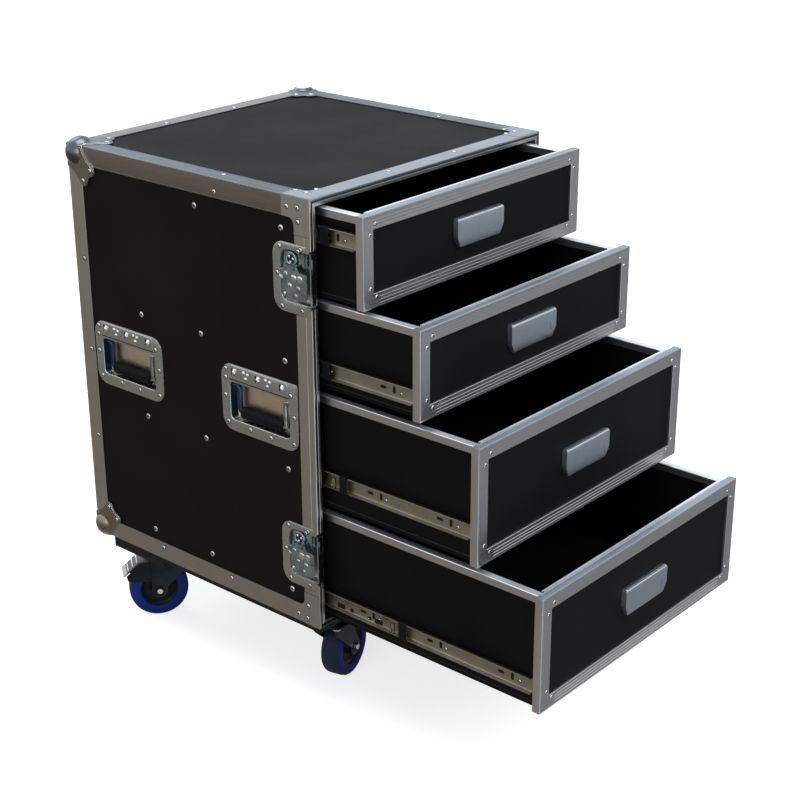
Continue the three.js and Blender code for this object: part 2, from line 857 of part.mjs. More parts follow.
// A drawer's open box with its front board, edge caps and inner slide members.
function drawer_box(drawer) {
  const top = drawer.height;
  const long = [front_board_back - overrun, box_back];
  const cap_levels = [top - cap_height, top - fit_gap];
  const pieces = [
    block(
      [frame_skin + fit_gap - front_width / 2, front_width / 2 - frame_skin - fit_gap],
      [front_board_face, front_board_back],
      [frame_skin + fit_gap, top - frame_skin - fit_gap],
    ),
    block([-box_half, box_half], long, [0, box_floor]),
    block([-box_half, box_half], [box_back - box_wall, box_back], [0, top - fit_gap]),
    block([-box_half, box_half], [box_back - box_wall - cap_thick, box_back], cap_levels),
  ];
  for (const side of [-1, 1]) {
    const wall = [side * box_half, side * (box_half - box_wall)];
    const cap = [side * (box_half + cap_thick), side * (box_half - box_wall - cap_thick)];
    const behind_frame = [Math.max(frame_depth, front_board_back) + fit_gap, box_back];
    pieces.push(block(wall, long, [0, top - cap_thick - fit_gap]));
    pieces.push(block(cap, behind_frame, cap_levels));
    pieces.push(inner_rail(side, drawer.rise));
  }
  const frame_room = [front_board_back - overrun, frame_depth];
  const seat = frame_skin + fit_gap;
  const across = [-front_width, front_width];
  const beside = [-1, 1].map((side) =>
    block([side * front_width, side * (front_width / 2 - seat)], frame_room, [0, top]));
  const under = block(across, frame_room, [-overrun, seat]);
  const above = block(across, frame_room, [top - seat, top + overrun]);
  return cut(joined(pieces), [...beside, under, above]);
}

function frame_ring(drawer, inset, inner) {
  const drawn_in = (by) =>
    rounded([by - front_width / 2, front_width / 2 - by], [by, drawer.height - by], 0);
  const shape = drawn_in(inset);
  shape.holes.push(drawn_in(inner));
  return shape;
}

// The frame round a drawer's front: a grooved flange before the board and a skirt over its edges.
function front_frame(drawer) {
  const whole = joined([
    along_y(frame_ring(drawer, 0, frame_flange), 0, frame_thick),
    along_y(frame_ring(drawer, 0, frame_skin), 0, frame_depth),
  ]);
  const grooves = [];
  for (let row = 0; row < rib_count; row += 1) {
    const start = rib_first + row * rib_pitch;
    grooves.push(along_y(frame_ring(drawer, start, start + rib_groove), -overrun, rib_groove_depth));
  }
  return cut(whole, grooves);
}

// A cup pull: closed at the top and the ends, open below for the fingers.
function pull(drawer) {
  const middle = drawer.height / 2;
  const [top, low] = [middle + pull_height / 2, middle - pull_height / 2];
  const seat = front_board_face - fit_gap;
  const side_view = new THREE.Shape();
  side_view.moveTo(seat, low);
  side_view.lineTo(seat, top);
  side_view.lineTo(pull_face + pull_round, top);
  side_view.quadraticCurveTo(pull_face, top, pull_face, top - pull_round);
  side_view.lineTo(pull_face, middle);
  side_view.quadraticCurveTo(pull_face, low + pull_thick, pull_face + pull_thick, low);
  const half = pull_width / 2;
  const shell = along_x(side_view, -half, half);
  const front_view = polygon([
    [-half, top + overrun],
    [-half, low + pull_taper_height],
    [-pull_lip_width / 2, low - overrun],
    [pull_lip_width / 2, low - overrun],
    [half, low + pull_taper_height],
    [half, top + overrun],
  ]);
  const inner_view = polygon([
    [pull_thick - half, top - pull_thick],
    [pull_thick - half, low + pull_taper_height],
    [pull_thick - pull_lip_width / 2, low - overrun],
    [pull_lip_width / 2 - pull_thick, low - overrun],
    [half - pull_thick, low + pull_taper_height],
    [half - pull_thick, top - pull_thick],
  ]);
  const finger_room = along_y(inner_view, pull_face + pull_thick, seat + overrun);
  return shell.intersect(along_y(front_view, pull_face - overrun, seat + overrun)).subtract(finger_room);
}

// A wheel, standing on one of its facets.
function wheel() {
  const outside_round = 1 / Math.cos(Math.PI / wheel_steps);
  const half_outline = [
    [bore_radius, hub_half],
    [hub_radius, hub_half],
    [hub_radius, core_half],
    [core_radius, core_half],
    [core_radius, tread_half],
    [wheel_radius - tread_shoulder, tread_half],
    [wheel_radius * outside_round, tread_half - tread_shoulder],
  ];
  const outline = [
    ...half_outline.map(([r, y]) => new THREE.Vector2(r, -y)),
    ...half_outline.toReversed().map(([r, y]) => new THREE.Vector2(r, y)),
  ];
  outline.push(outline[0].clone());
  const geometry = new THREE.LatheGeometry(outline, wheel_steps).rotateY(Math.PI / wheel_steps);
  return solid(geometry).translate([axle_offset, 0, -axle_drop]);
}

// The turning fork: a cup under the fixed race, a crown, two cheeks and the axle.
function fork(rear) {
  const cup_top = -plate_thick - race_drop - fit_gap;
  const cup_end = cup_top - cup_height;
  const crown_end = cup_end - crown_thick;
  const cup = along_z(disc(0, 0, cup_radius), cup_end, cup_top, disc_steps);
  const crown = block([-crown_back, crown_front], [-fork_outer, fork_outer], [crown_end, cup_end]);
  const ear_end = rear ? pedal_pivot_x + pedal_ear : crown_front;
  const cheek = polygon([
    [-crown_back, cup_end],
    [ear_end, cup_end],
    [ear_end, -pedal_pivot_drop - pedal_ear],
    [axle_offset + axle_boss, -axle_drop],
    [axle_offset + axle_boss / 2, -axle_drop - axle_boss],
    [axle_offset - axle_boss / 2, -axle_drop - axle_boss],
    [axle_offset - axle_boss, -axle_drop],
    [-crown_back, -pedal_pivot_drop - pedal_ear],
  ]);
  const cheeks = [-1, 1].map((end) => along_y(cheek, end * fork_inner, end * fork_outer));
  const axle = along_y(disc(axle_offset, -axle_drop, axle_radius), -fork_outer, fork_outer, disc_steps);
  const heads = [-1, 1].map((end) => {
    const outline = disc(axle_offset, -axle_drop, bolt_radius);
    return along_y(outline, end * fork_outer, end * (fork_outer + bolt_head), disc_steps);
  });
  const kingpin_room = disc(0, 0, kingpin_radius + fit_gap);
  const kingpin_hole = along_z(kingpin_room, crown_end - overrun, cup_top + overrun, disc_steps);
  return joined([cup, crown, ...cheeks, axle, ...heads]).subtract(kingpin_hole);
}

// The brake pedal: a bent tread on a cross rod between the fork's ears.
function brake_pedal() {
  const knee = [pedal_pivot_x + pedal_knee, -pedal_pivot_drop - pedal_knee_drop];
  const toe = [pedal_pivot_x + pedal_reach, -pedal_pivot_drop - pedal_fall];
  const outline = polygon([
    [pedal_pivot_x, -pedal_pivot_drop - pedal_thick / 2],
    [knee[0], knee[1] - pedal_thick / 2],
    [toe[0] - pedal_thick, toe[1]],
    toe,
    [knee[0] + pedal_thick / 2, knee[1] + pedal_thick / 2],
    [pedal_pivot_x, -pedal_pivot_drop + pedal_thick / 2],
  ]);
  const half = fork_inner - fit_gap;
  const rod = along_y(disc(pedal_pivot_x, -pedal_pivot_drop, pedal_rod), -half, half, disc_steps);
  return along_y(outline, -half, half).add(rod);
}

// The cabinet.
const lid_levels = [case_height - wall_depth, case_height - board_face];
add(case_group, 'top_panel', flat_panel(...lid_levels), 'lid_board');
add(case_group, 'bottom_board', bottom_board(), 'raw_board');
add(case_group, 'back_panel', back_panel(), 'board');
add(case_group, 'edge_frame', edge_frame(), 'aluminium');

const sides = { left: -1, right: 1 };
for (const [side_name, side] of Object.entries(sides)) {
  add(case_group, `${side_name}_panel`, side_panel(side), 'board');
  for (const [end_name, y] of Object.entries(handle_levels)) {
    const place = `${end_name}_${side_name}`;
    add(case_group, `${place}_handle_dish`, handle_dish(side, y), 'zinc');
    add(case_group, `${place}_handle_bail`, bail(side, y), 'zinc');
  }
  for (const [end_name, z] of Object.entries(latch_levels)) {
    const place = `${end_name}_${side_name}`;
    add(case_group, `${place}_latch_dish`, latch_dish(side, z), 'zinc');
    add(case_group, `${place}_latch_barrel`, latch_barrel(side, z), 'zinc');
    add(case_group, `${place}_latch_hook`, latch_hook(side, z), 'zinc');
    add(case_group, `${place}_latch_wing`, latch_wing(side, z), 'zinc');
  }
}

// The drawers, each in a group of its own where it stands.
for (const drawer of drawer_stack) {
  const rails = new THREE.Group();
  rails.position.set(0, mid_rail_start - drawer.rail_out, drawer.floor);
  case_group.add(rails);
  for (const [side_name, side] of Object.entries(sides)) {
    add(rails, `${drawer.name}_${side_name}_rail`, mid_rail(side, drawer.rise), 'slide_steel');
  }
  const body = new THREE.Group();
  body.position.set(0, closed_setback - drawer.rail_out - drawer.box_out, drawer.floor);
  case_group.add(body);
  add(body, `${drawer.name}_box`, drawer_box(drawer), 'box');
  add(body, `${drawer.name}_frame`, front_frame(drawer), 'aluminium');
  add(body, `${drawer.name}_pull`, pull(drawer), 'satin');
}

// The casters, each turned about its kingpin.
for (const place of caster_places) {
  const [x, y] = caster_pivot(place);
  const turned = new THREE.Group();
  turned.position.set(x, y, -board_under);
  turned.rotation.z = THREE.MathUtils.degToRad(place.swivel);
  case_group.add(turned);
  add(turned, `${place.name}_caster_fork`, fork(place.rear), 'zinc');
  add(turned, `${place.name}_caster_wheel`, wheel(), 'tyre');
  if (place.rear) add(turned, `${place.name}_brake_pedal`, brake_pedal(), 'zinc');
}

const group = new THREE.Group();
group.add(case_group);
export default group;
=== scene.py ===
"""A road case with four drawers on casters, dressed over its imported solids.

Every shape is written in millimetres of the cabinet's own frame: x from its middle plane, y from the
plane of its front rim towards the back, z from its underside.  Finished pieces are in metres, in the
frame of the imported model.
"""

from __future__ import annotations

import logging
import math
from dataclasses import dataclass
from enum import Enum
from typing import Callable, Sequence

import bmesh
import bpy
from mathutils import Matrix, Vector
from mathutils.geometry import tessellate_polygon


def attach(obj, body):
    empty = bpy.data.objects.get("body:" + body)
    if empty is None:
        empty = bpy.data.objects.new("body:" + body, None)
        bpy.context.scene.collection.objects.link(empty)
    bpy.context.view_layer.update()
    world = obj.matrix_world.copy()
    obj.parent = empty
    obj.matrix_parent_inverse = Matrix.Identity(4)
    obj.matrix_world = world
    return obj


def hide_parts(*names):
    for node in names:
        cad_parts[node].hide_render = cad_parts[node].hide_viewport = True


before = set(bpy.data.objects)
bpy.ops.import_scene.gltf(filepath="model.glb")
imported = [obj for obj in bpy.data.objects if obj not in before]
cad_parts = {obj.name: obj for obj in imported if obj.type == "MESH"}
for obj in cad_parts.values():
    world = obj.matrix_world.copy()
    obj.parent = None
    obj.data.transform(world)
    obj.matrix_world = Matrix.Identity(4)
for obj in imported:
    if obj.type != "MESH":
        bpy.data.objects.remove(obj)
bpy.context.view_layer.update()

log = logging.getLogger("road_case")

Point2 = tuple[float, float]
Point3 = tuple[float, float, float]
Colour = tuple[int, int, int]
Socket = bpy.types.NodeSocket

METRE = 0.001
CENTRE_Y = 60.95  # The model's middle, from the rim's plane.
LIFT = 147.3  # The cabinet's underside, from the floor.

RACK_UNIT = 44.45
HALF_WIDTH = 262.5
CASE_HEIGHT = 666.4
CASE_DEPTH = 516.3
SKIN = 1.5  # The extrusions' thickness.
FIT = 0.3  # The play between two parts.
PAST = 2.0  # How far a cutting tool stands past what it cuts.
WALL = 11.3  # From the cabinet's outside to the inside of its boards.
FLANGE = 30.5  # The extrusions' width.
BOARD_FACE = 1.8  # How far the boards' faces stand in.
CLOSED_SETBACK = 8.0  # How far a closed drawer's front stands behind the rim.
SLIDE_INNER = HALF_WIDTH - WALL
BOX_HALF = 238.5  # Half the width of a drawer's box.
BOARD_UNDER = 19.3  # How far the battens reach below the cabinet.
LATCH_HALF = 51.25  # Half the height of a latch's plate.
LATCH_PAN = (35.0, 41.5)  # Below and above the latch's middle.
RIVET_RADIUS = 3.6
RIVET_RISE = 1.3

LATCH_LEVELS = {"upper": CASE_HEIGHT - 119.4, "lower": 112.8}
HANDLE_PLACES = {"front": 112.5, "rear": CASE_DEPTH - 112.5}
SIDES = {"left": -1, "right": 1}
LEVELS = {"top": (CASE_HEIGHT, -1), "bottom": (0.0, 1)}


class Axis(Enum):
    """The direction in which an outline is carried or turned."""

    X = 0
    Y = 1
    Z = 2

    def spot(self, along: float, u: float, v: float) -> Vector:
        """Gives the point at a place on this axis, with u and v on the other two in their order."""
        parts = [u, v]
        parts.insert(self.value, along)
        return Vector(parts)


def about(middle: float, half: float) -> Point2:
    """Gives the span that reaches as far to both sides of a middle."""
    return middle - half, middle + half


def word(side: int) -> str:
    """Names a side."""
    return "left" if side < 0 else "right"


def linked(name: str, data: bpy.types.ID) -> bpy.types.Object:
    """Makes an object of some data and links it to the scene."""
    made = bpy.data.objects.new(name, data)
    bpy.context.scene.collection.objects.link(made)
    return made


def linear(colour: Colour) -> tuple[float, float, float, float]:
    """Turns a display colour of 0 to 255 into a shader colour."""
    channels = [c / 255 for c in colour]
    low, slope, offset, power = 0.04045, 12.92, 0.055, 2.4
    parts = [c / slope if c <= low else ((c + offset) / (1 + offset)) ** power for c in channels]
    return (parts[0], parts[1], parts[2], 1.0)


def rounded(u: Point2, v: Point2, radii: float | Sequence[float], steps: int = 6) -> list[Point2]:
    """Outlines a rectangle with round corners.

    Args:
        u: Its span along the first coordinate.
        v: Its span along the second.
        radii: One radius, or four from the low-low corner round by the high-low one.
        steps: Steps in each corner.

    Returns:
        The outline's points, as many whatever the radii are.
    """
    four = [radii] * 4 if isinstance(radii, (int, float)) else list(radii)
    (ua, ub), (va, vb) = u, v
    corners = [(ua, va, 1, 1), (ub, va, -1, 1), (ub, vb, -1, -1), (ua, vb, 1, -1)]
    points: list[Point2] = []
    for turn, ((cu, cv, su, sv), radius) in enumerate(zip(corners, four)):
        for step in range(steps + 1):
            angle = math.pi + math.pi / 2 * (turn + step / steps)
            across = cu + su * radius + radius * math.cos(angle)
            points.append((across, cv + sv * radius + radius * math.sin(angle)))
    return points


def circle(u: float, v: float, radius: float, steps: int = 24, tall: float | None = None) -> list[Point2]:
    """Outlines a circle or, where its radius along v is given too, an ellipse."""
    turns = [2 * math.pi * i / steps for i in range(steps)]
    return [(u + radius * math.cos(a), v + (tall or radius) * math.sin(a)) for a in turns]


def arc(u: float, v: float, radius: float, start: float, end: float, steps: int) -> list[Point2]:
    """Gives the points of an arc between two angles in degrees, ends included."""
    turns = [math.radians(start + (end - start) * i / steps) for i in range(steps + 1)]
    return [(u + radius * math.cos(a), v + radius * math.sin(a)) for a in turns]


class Shape:
    """Closed solids under construction, with the number of a finish on each face."""

    def __init__(self) -> None:
        """Starts with nothing."""
        self.mesh = bmesh.new()

    def loft(self, loops: Sequence[Sequence[Vector]], paint: int = 0, closed: bool = False) -> None:
        """Skins loops of equal length and caps the ends.

        Args:
            loops: The loops in order.
            paint: The finish of the new faces.
            closed: Joins the last loop to the first one in place of the caps.
        """
        rows = [[self.mesh.verts.new(p) for p in loop] for loop in loops]
        pairs = list(zip(rows, rows[1:]))
        if closed:
            pairs.append((rows[-1], rows[0]))
        for low, high in pairs:
            for i, corner in enumerate(low):
                j = (i + 1) % len(low)
                self._face([corner, low[j], high[j], high[i]], paint)
        if not closed:
            self._face(list(reversed(rows[0])), paint)
            self._face(rows[-1], paint)

    def _face(self, corners: list[bmesh.types.BMVert], paint: int) -> None:
        """Adds one face."""
        face = self.mesh.faces.new(corners)
        face.material_index = paint

    def bar(self, axis: Axis, outline: Sequence[Point2], low: float, high: float, paint: int = 0) -> None:
        """Carries an outline along an axis from one place to another."""
        self.loft([[axis.spot(end, u, v) for u, v in outline] for end in (low, high)], paint)

    def block(self, x: Point2, y: Point2, z: Point2, paint: int = 0) -> None:
        """Adds a block between two places on each axis."""
        (ya, yb), (za, zb) = y, z
        self.bar(Axis.X, [(ya, za), (yb, za), (yb, zb), (ya, zb)], x[0], x[1], paint)

    def plate(
        self, axis: Axis, outline: Sequence[Point2], low: float, high: float,
        holes: Sequence[Sequence[Point2]] = (), paint: int = 0,
    ) -> None:
        """Carries an outline with holes along an axis.

        Args:
            axis: The direction through the plate.
            outline: The outer outline.
            low: One face's place.
            high: The other face's place.
            holes: Outlines of the holes.
            paint: The finish of the faces.
        """
        loops = [list(outline), *[list(hole) for hole in holes]]
        triangles = tessellate_polygon([[Vector((u, v, 0)) for u, v in loop] for loop in loops])
        ends = []
        for end in (low, high):
            ends.append([self.mesh.verts.new(axis.spot(end, u, v)) for loop in loops for u, v in loop])
        for triangle in triangles:
            self._face([ends[1][i] for i in triangle], paint)
            self._face([ends[0][i] for i in reversed(triangle)], paint)
        start = 0
        for loop in loops:
            for i in range(len(loop)):
                a, b = start + i, start + (i + 1) % len(loop)
                self._face([ends[0][a], ends[0][b], ends[1][b], ends[1][a]], paint)
            start += len(loop)

    def turned(
        self, profile: Sequence[Point2], centre: Point3, axis: Axis, steps: int = 24, paint: int = 0,
        hollow: bool = False,
    ) -> None:
        """Turns a profile of radius and height about an axis.

        Args:
            profile: Points of radius and height; the height runs along the axis from the centre.
            centre: The centre's place.
            axis: The turning axis.
            steps: Sides of the turned form.
            paint: The finish of the faces.
            hollow: The profile closes on itself and doesn't reach the axis.
        """
        middle = Vector(centre)
        loops = []
        for radius, height in profile:
            loops.append([middle + axis.spot(height, u, v) for u, v in circle(0, 0, radius, steps)])
        self.loft(loops, paint, closed=hollow)

    def dome(
        self, centre: Point3, axis: Axis, outward: int, radius: float = RIVET_RADIUS,
        height: float = RIVET_RISE,
    ) -> None:
        """Adds the low head of a blind rivet, with a dark disc of painted shade in its hollow middle and a
        thin dark ring of painted shadow round it.
        """
        hollow, wide = radius * 0.36, radius + 0.7
        profile = [(radius, -height / 2)]
        profile += [(radius * math.cos(a), height * math.sin(a)) for a in (0, 0.44, 0.87, 1.15)]
        profile += [(hollow, height * 0.9), (hollow * 0.96, height * 0.45)]
        pit = [(hollow * 0.94, height * 0.3), (hollow * 0.94, height * 0.55)]
        rim = [(wide, -height / 2), (wide, 0.12), (radius - 0.3, 0.2)]
        for points, paint in ((profile, 0), (pit, 1), (rim, 1)):
            self.turned([(r, h * outward) for r, h in points], centre, axis, 14, paint)

    def tube(self, path: Sequence[Vector], radius: float, normal: Vector, sides: int) -> None:
        """Runs a round rod along a flat path whose plane has the given normal."""
        loops = []
        for i, here in enumerate(path):
            before, after = path[max(i - 1, 0)], path[min(i + 1, len(path) - 1)]
            across = (after - before).normalized().cross(normal)
            loops.append([here + radius * (u * normal + v * across) for u, v in circle(0, 0, 1, sides)])
        self.loft(loops)

    def ring(self, profile: Sequence[Point2], x: Point2, z: Point2) -> None:
        """Carries a profile of inset and depth round a rectangle, mitred at its corners."""
        loops = []
        for i, k in ((0, 0), (1, 0), (1, 1), (0, 1)):
            to_x, to_z = 1 - 2 * i, 1 - 2 * k
            loops.append([Vector((x[i] + to_x * inset, y, z[k] + to_z * inset)) for inset, y in profile])
        self.loft(loops, closed=True)

    def moved(self, matrix: Matrix) -> Shape:
        """Moves all there is so far."""
        self.mesh.transform(matrix)
        return self

    def mirrored(self, side: int) -> Shape:
        """Mirrors what was made for the right side if the side is the left one."""
        return self.moved(Matrix.Diagonal((-1, 1, 1, 1))) if side < 0 else self

    def _object(self, name: str) -> bpy.types.Object:
        """Makes a linked object of the shape, still in millimetres."""
        bmesh.ops.recalc_face_normals(self.mesh, faces=self.mesh.faces[:])
        mesh = bpy.data.meshes.new(name)
        self.mesh.to_mesh(mesh)
        return linked(name, mesh)

    def combined(self, tool: Shape, operation: str = "DIFFERENCE") -> Shape:
        """Cuts a tool out of this shape, or keeps what they share or both cover.

        Args:
            tool: The other shape, without overlaps in itself.
            operation: DIFFERENCE, INTERSECT or UNION.

        Returns:
            This shape with the result.
        """
        work, other = self._object("work"), tool._object("tool")
        modifier = work.modifiers.new("cut", "BOOLEAN")
        modifier.operation = operation
        modifier.solver = "EXACT"
        modifier.object = other
        bpy.context.view_layer.update()
        result = bpy.data.meshes.new_from_object(work.evaluated_get(bpy.context.evaluated_depsgraph_get()))
        self.mesh.clear()
        self.mesh.from_mesh(result)
        for spare in (work, other):
            old = spare.data
            bpy.data.objects.remove(spare)
            bpy.data.meshes.remove(old)
        bpy.data.meshes.remove(result)
        return self

    def piece(
        self, name: str, body: str, finishes: Sequence[Finish], slot: str | None = None,
        replaces: Sequence[str] = (), bevel: float = 0.0, smooth: float = 40.0,
    ) -> bpy.types.Object:
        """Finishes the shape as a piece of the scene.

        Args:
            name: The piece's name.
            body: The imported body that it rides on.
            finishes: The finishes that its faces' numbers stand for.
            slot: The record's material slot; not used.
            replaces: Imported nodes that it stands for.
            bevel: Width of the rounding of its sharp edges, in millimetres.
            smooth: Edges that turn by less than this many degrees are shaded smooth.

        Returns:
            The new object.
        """
        self.moved(Matrix.Scale(METRE, 4) @ Matrix.Translation((0, -CENTRE_Y, LIFT)))
        for face in self.mesh.faces:
            face.smooth = True
        made = self._object(name)
        for edge in made.data.edges:
            edge.use_edge_sharp = False
        made.data.set_sharp_from_angle(angle=math.radians(smooth))
        if bevel:
            round_edges(made, bevel)
        for finish in finishes:
            made.data.materials.append(finish.material())
        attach(made, body)
        if replaces:
            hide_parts(*replaces)
        log.info("%s on %s", name, body)
        return made

    def heads(self, name: str, body: str, slot: str) -> None:
        """Finishes the shape as a piece that holds the heads of rivets or screws."""
        self.piece(name, body, RIVETS, slot, smooth=60)


def round_edges(piece: bpy.types.Object, width: float, steps: int = 2) -> None:
    """Rounds a piece's sharp edges by a width in millimetres."""
    modifier = piece.modifiers.new("rounding", "BEVEL")
    modifier.width = width * METRE
    modifier.segments = steps
    modifier.limit_method = "ANGLE"
    modifier.angle_limit = math.radians(40)
    modifier.harden_normals = True


def shade(piece: bpy.types.Object, chosen: Callable[[bpy.types.MeshPolygon], bool], slot: int = 1) -> None:
    """Gives another finish of a piece to the faces that are chosen."""
    for face in piece.data.polygons:
        if chosen(face):
            face.material_index = slot


def looks_up(face: bpy.types.MeshPolygon) -> bool:
    """Says whether a face looks upwards."""
    return face.normal.z > 0.5


def shade_top(piece: bpy.types.Object) -> None:
    """Gives the upward faces in a slide member's upper half a darker finish, painted shade."""
    heights = [corner[2] for corner in piece.bound_box]
    middle = (min(heights) + max(heights)) / 2
    shade(piece, lambda face: looks_up(face) and face.center.z > middle)


def keep(node: str, finish: Finish, bevel: float = 0.0) -> None:
    """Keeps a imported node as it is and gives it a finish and, if asked for, rounded edges."""
    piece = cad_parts[node]
    piece.data.materials.clear()
    piece.data.materials.append(finish.material())
    if bevel:
        round_edges(piece, bevel)
    log.info("%s kept", node)


class Nodes:
    """The node tree of a material or a world, with short ways to add and join its nodes."""

    def __init__(self, owner: bpy.types.Material | bpy.types.World) -> None:
        """Starts with the nodes that the owner has from the beginning."""
        owner.use_nodes = True
        self.tree = owner.node_tree
        self.shader = self.tree.nodes.get("Principled BSDF")

    def feed(self, node: bpy.types.Node, inputs: dict[str | int, object]) -> None:
        """Fills a node's inputs.

        Args:
            node: The node.
            inputs: For each input's name or number a value, or the output to link to it.
        """
        for key, value in inputs.items():
            if isinstance(value, Socket):
                self.tree.links.new(value, node.inputs[key])
            else:
                node.inputs[key].default_value = value

    def add(
        self, kind: str, inputs: dict[str | int, object] | None = None, **settings: object,
    ) -> bpy.types.Node:
        """Adds a node.

        Args:
            kind: The node's type.
            inputs: What feed() takes.
            settings: Its settings.

        Returns:
            The new node.
        """
        node = self.tree.nodes.new(kind)
        for key, value in settings.items():
            setattr(node, key, value)
        self.feed(node, inputs or {})
        return node

    def show(self, node: bpy.types.Node, output: str = "Material Output") -> None:
        """Leads a shader to the tree's output."""
        self.feed(self.tree.nodes[output], {"Surface": node.outputs[0]})

    @property
    def place(self) -> Socket:
        """The place on the piece."""
        return self.add("ShaderNodeTexCoord").outputs["Object"]

    def stretched(self, scale: Point3) -> Socket:
        """Gives the place on the piece with its axes scaled."""
        return self.add("ShaderNodeMapping", {"Scale": scale, "Vector": self.place}).outputs["Vector"]

    def noise(self, vector: Socket, scale: float, detail: float) -> Socket:
        """Gives cloudy values of 0 to 1."""
        inputs = {"Scale": scale, "Detail": detail, "Roughness": 0.55, "Vector": vector}
        return self.add("ShaderNodeTexNoise", inputs).outputs["Fac"]

    def between(
        self, value: Socket, low: float, high: float, to_low: float = 0, to_high: float = 1,
    ) -> Socket:
        """Spreads the values between two limits over another span."""
        inputs = {"Value": value, "From Min": low, "From Max": high, "To Min": to_low, "To Max": to_high}
        return self.add("ShaderNodeMapRange", inputs).outputs["Result"]

    def maths(self, operation: str, *values: Socket | float) -> Socket:
        """Works out one sum."""
        return self.add("ShaderNodeMath", dict(enumerate(values)), operation=operation).outputs["Value"]

    def blended(self, share: Socket, first: Socket | Colour, second: Socket | Colour) -> Socket:
        """Blends two colours by a share."""
        a, b = (linear(colour) if isinstance(colour, tuple) else colour for colour in (first, second))
        return self.add("ShaderNodeMix", {"Factor": share, 6: a, 7: b}, data_type="RGBA").outputs[2]

    def worn_edges(self, radius: float, patches: Socket) -> Socket:
        """Gives 1 on rubbed edges and 0 elsewhere, for a radius in millimetres."""
        flat, turned = 0.99, 0.9
        bare_from, bare_to = 0.42, 0.6
        soft = self.add("ShaderNodeBevel", {"Radius": radius * METRE}, samples=4)
        plain = self.add("ShaderNodeNewGeometry")
        normals = {0: soft.outputs["Normal"], 1: plain.outputs["Normal"]}
        along = self.add("ShaderNodeVectorMath", normals, operation="DOT_PRODUCT").outputs["Value"]
        edge = self.between(along, flat, turned)
        return self.maths("MULTIPLY", edge, self.between(patches, bare_from, bare_to))

    def bump(self, height: Socket, distance: float, below: Socket | None = None) -> Socket:
        """Turns heights into a normal, for a depth in millimetres."""
        node = self.add("ShaderNodeBump", {"Distance": distance * METRE, "Height": height})
        if below:
            self.feed(node, {"Normal": below})
        return node.outputs["Normal"]


@dataclass(frozen=True)
class Finish:
    """A finish of a surface: a colour with stains, a roughness and a fine relief.

    Attributes:
        name: The material's name.
        colour: The main colour.
        stained: The colour of its patches.
        metallic: 1 for bare metal.
        roughness: The lowest and highest roughness.
        patch: How many patches there are in a metre.
        grain: How many grains there are in a metre along x, y and z.
        depth: The relief's depth in millimetres.
        gloss: The shader's specular level, where 0.5 is clear lacquer.
        worn: The colour of rubbed edges, if they show.
        wear: The width of the rubbed edges in millimetres.
    """

    name: str
    colour: Colour
    stained: Colour
    metallic: float = 0.0
    roughness: Point2 = (0.4, 0.6)
    patch: float = 9.0
    grain: Point3 = (900.0, 900.0, 900.0)
    depth: float = 0.03
    gloss: float = 0.5
    worn: Colour | None = None
    wear: float = 0.7

    def relief(self, nodes: Nodes, fine: Socket) -> Socket:
        """Gives the normal of the surface's relief."""
        return nodes.bump(fine, self.depth)

    def paint(self, nodes: Nodes, patches: Socket, fine: Socket) -> Socket:
        """Gives the colour over the surface."""
        from_grain, from_patches = 0.35, 0.65
        stains = nodes.between(patches, 0.35, 0.7, 0, from_patches)
        share = nodes.maths("MULTIPLY_ADD", nodes.between(fine, 0.3, 0.7), from_grain, stains)
        return nodes.blended(share, self.colour, self.stained)

    def material(self) -> bpy.types.Material:
        """Gives the material, made once."""
        made = bpy.data.materials.get(self.name)
        if made:
            return made
        made = bpy.data.materials.new(self.name)
        nodes = Nodes(made)
        patches = nodes.noise(nodes.place, self.patch, 6)
        fine = nodes.noise(nodes.stretched(self.grain), 1.0, 5)
        colour = self.paint(nodes, patches, fine)
        rough = nodes.between(nodes.maths("MULTIPLY", patches, fine), 0.12, 0.4, *self.roughness)
        if self.worn:
            colour = nodes.blended(nodes.worn_edges(self.wear, patches), colour, self.worn)
        nodes.feed(nodes.shader, {
            "Base Color": colour, "Roughness": rough, "Normal": self.relief(nodes, fine),
            "Metallic": self.metallic, "Specular IOR Level": self.gloss})
        return made


@dataclass(frozen=True)
class PlyEdge(Finish):
    """Plywood with its veneers showing at the edges as thin layers."""

    layers: float = 700.0

    def relief(self, nodes: Nodes, fine: Socket) -> Socket:
        """Gives the grain with the veneers' low ridges."""
        inputs = {"Scale": self.layers / 20, "Vector": nodes.place}
        wave = nodes.add("ShaderNodeTexWave", inputs, wave_type="BANDS", bands_direction="Z")
        return nodes.bump(wave.outputs["Fac"], self.depth, nodes.bump(fine, self.depth))


@dataclass(frozen=True)
class MeshBoard(Finish):
    """A film pressed with a fine wire mesh, as on the drawers' boards."""

    mesh: float = 260.0

    def relief(self, nodes: Nodes, fine: Socket) -> Socket:
        """Gives the pressed mesh over the fine grain."""
        inputs = {"Scale": self.mesh, "Randomness": 0.15, "Vector": nodes.place}
        cells = nodes.add("ShaderNodeTexVoronoi", inputs, feature="SMOOTH_F1")
        return nodes.bump(cells.outputs["Distance"], self.depth, nodes.bump(fine, self.depth / 3))


FINE = (900.0, 900.0, 900.0)
BRUSHED = (240.0, 240.0, 240.0)
CRYSTALS = (500.0, 500.0, 500.0)
ALONG_X = (14.0, 240.0, 240.0)
ALONG_Y = (240.0, 14.0, 240.0)
ALONG_Z = (240.0, 240.0, 14.0)


def drawn(
    name: str, colour: Colour, stained: Colour, grain: Point3, roughness: Point2 = (0.28, 0.46),
    patch: float = 11,
) -> Finish:
    """Gives a drawn aluminium whose fine lines run along one axis."""
    return Finish(name, colour, stained, 1, roughness, patch, grain, 0.012)


def plated(
    name: str, colour: Colour, stained: Colour, roughness: Point2, patch: float = 26, depth: float = 0.03,
) -> Finish:
    """Gives a plated or oiled steel with small crystals."""
    return Finish(name, colour, stained, 1, roughness, patch, CRYSTALS, depth)


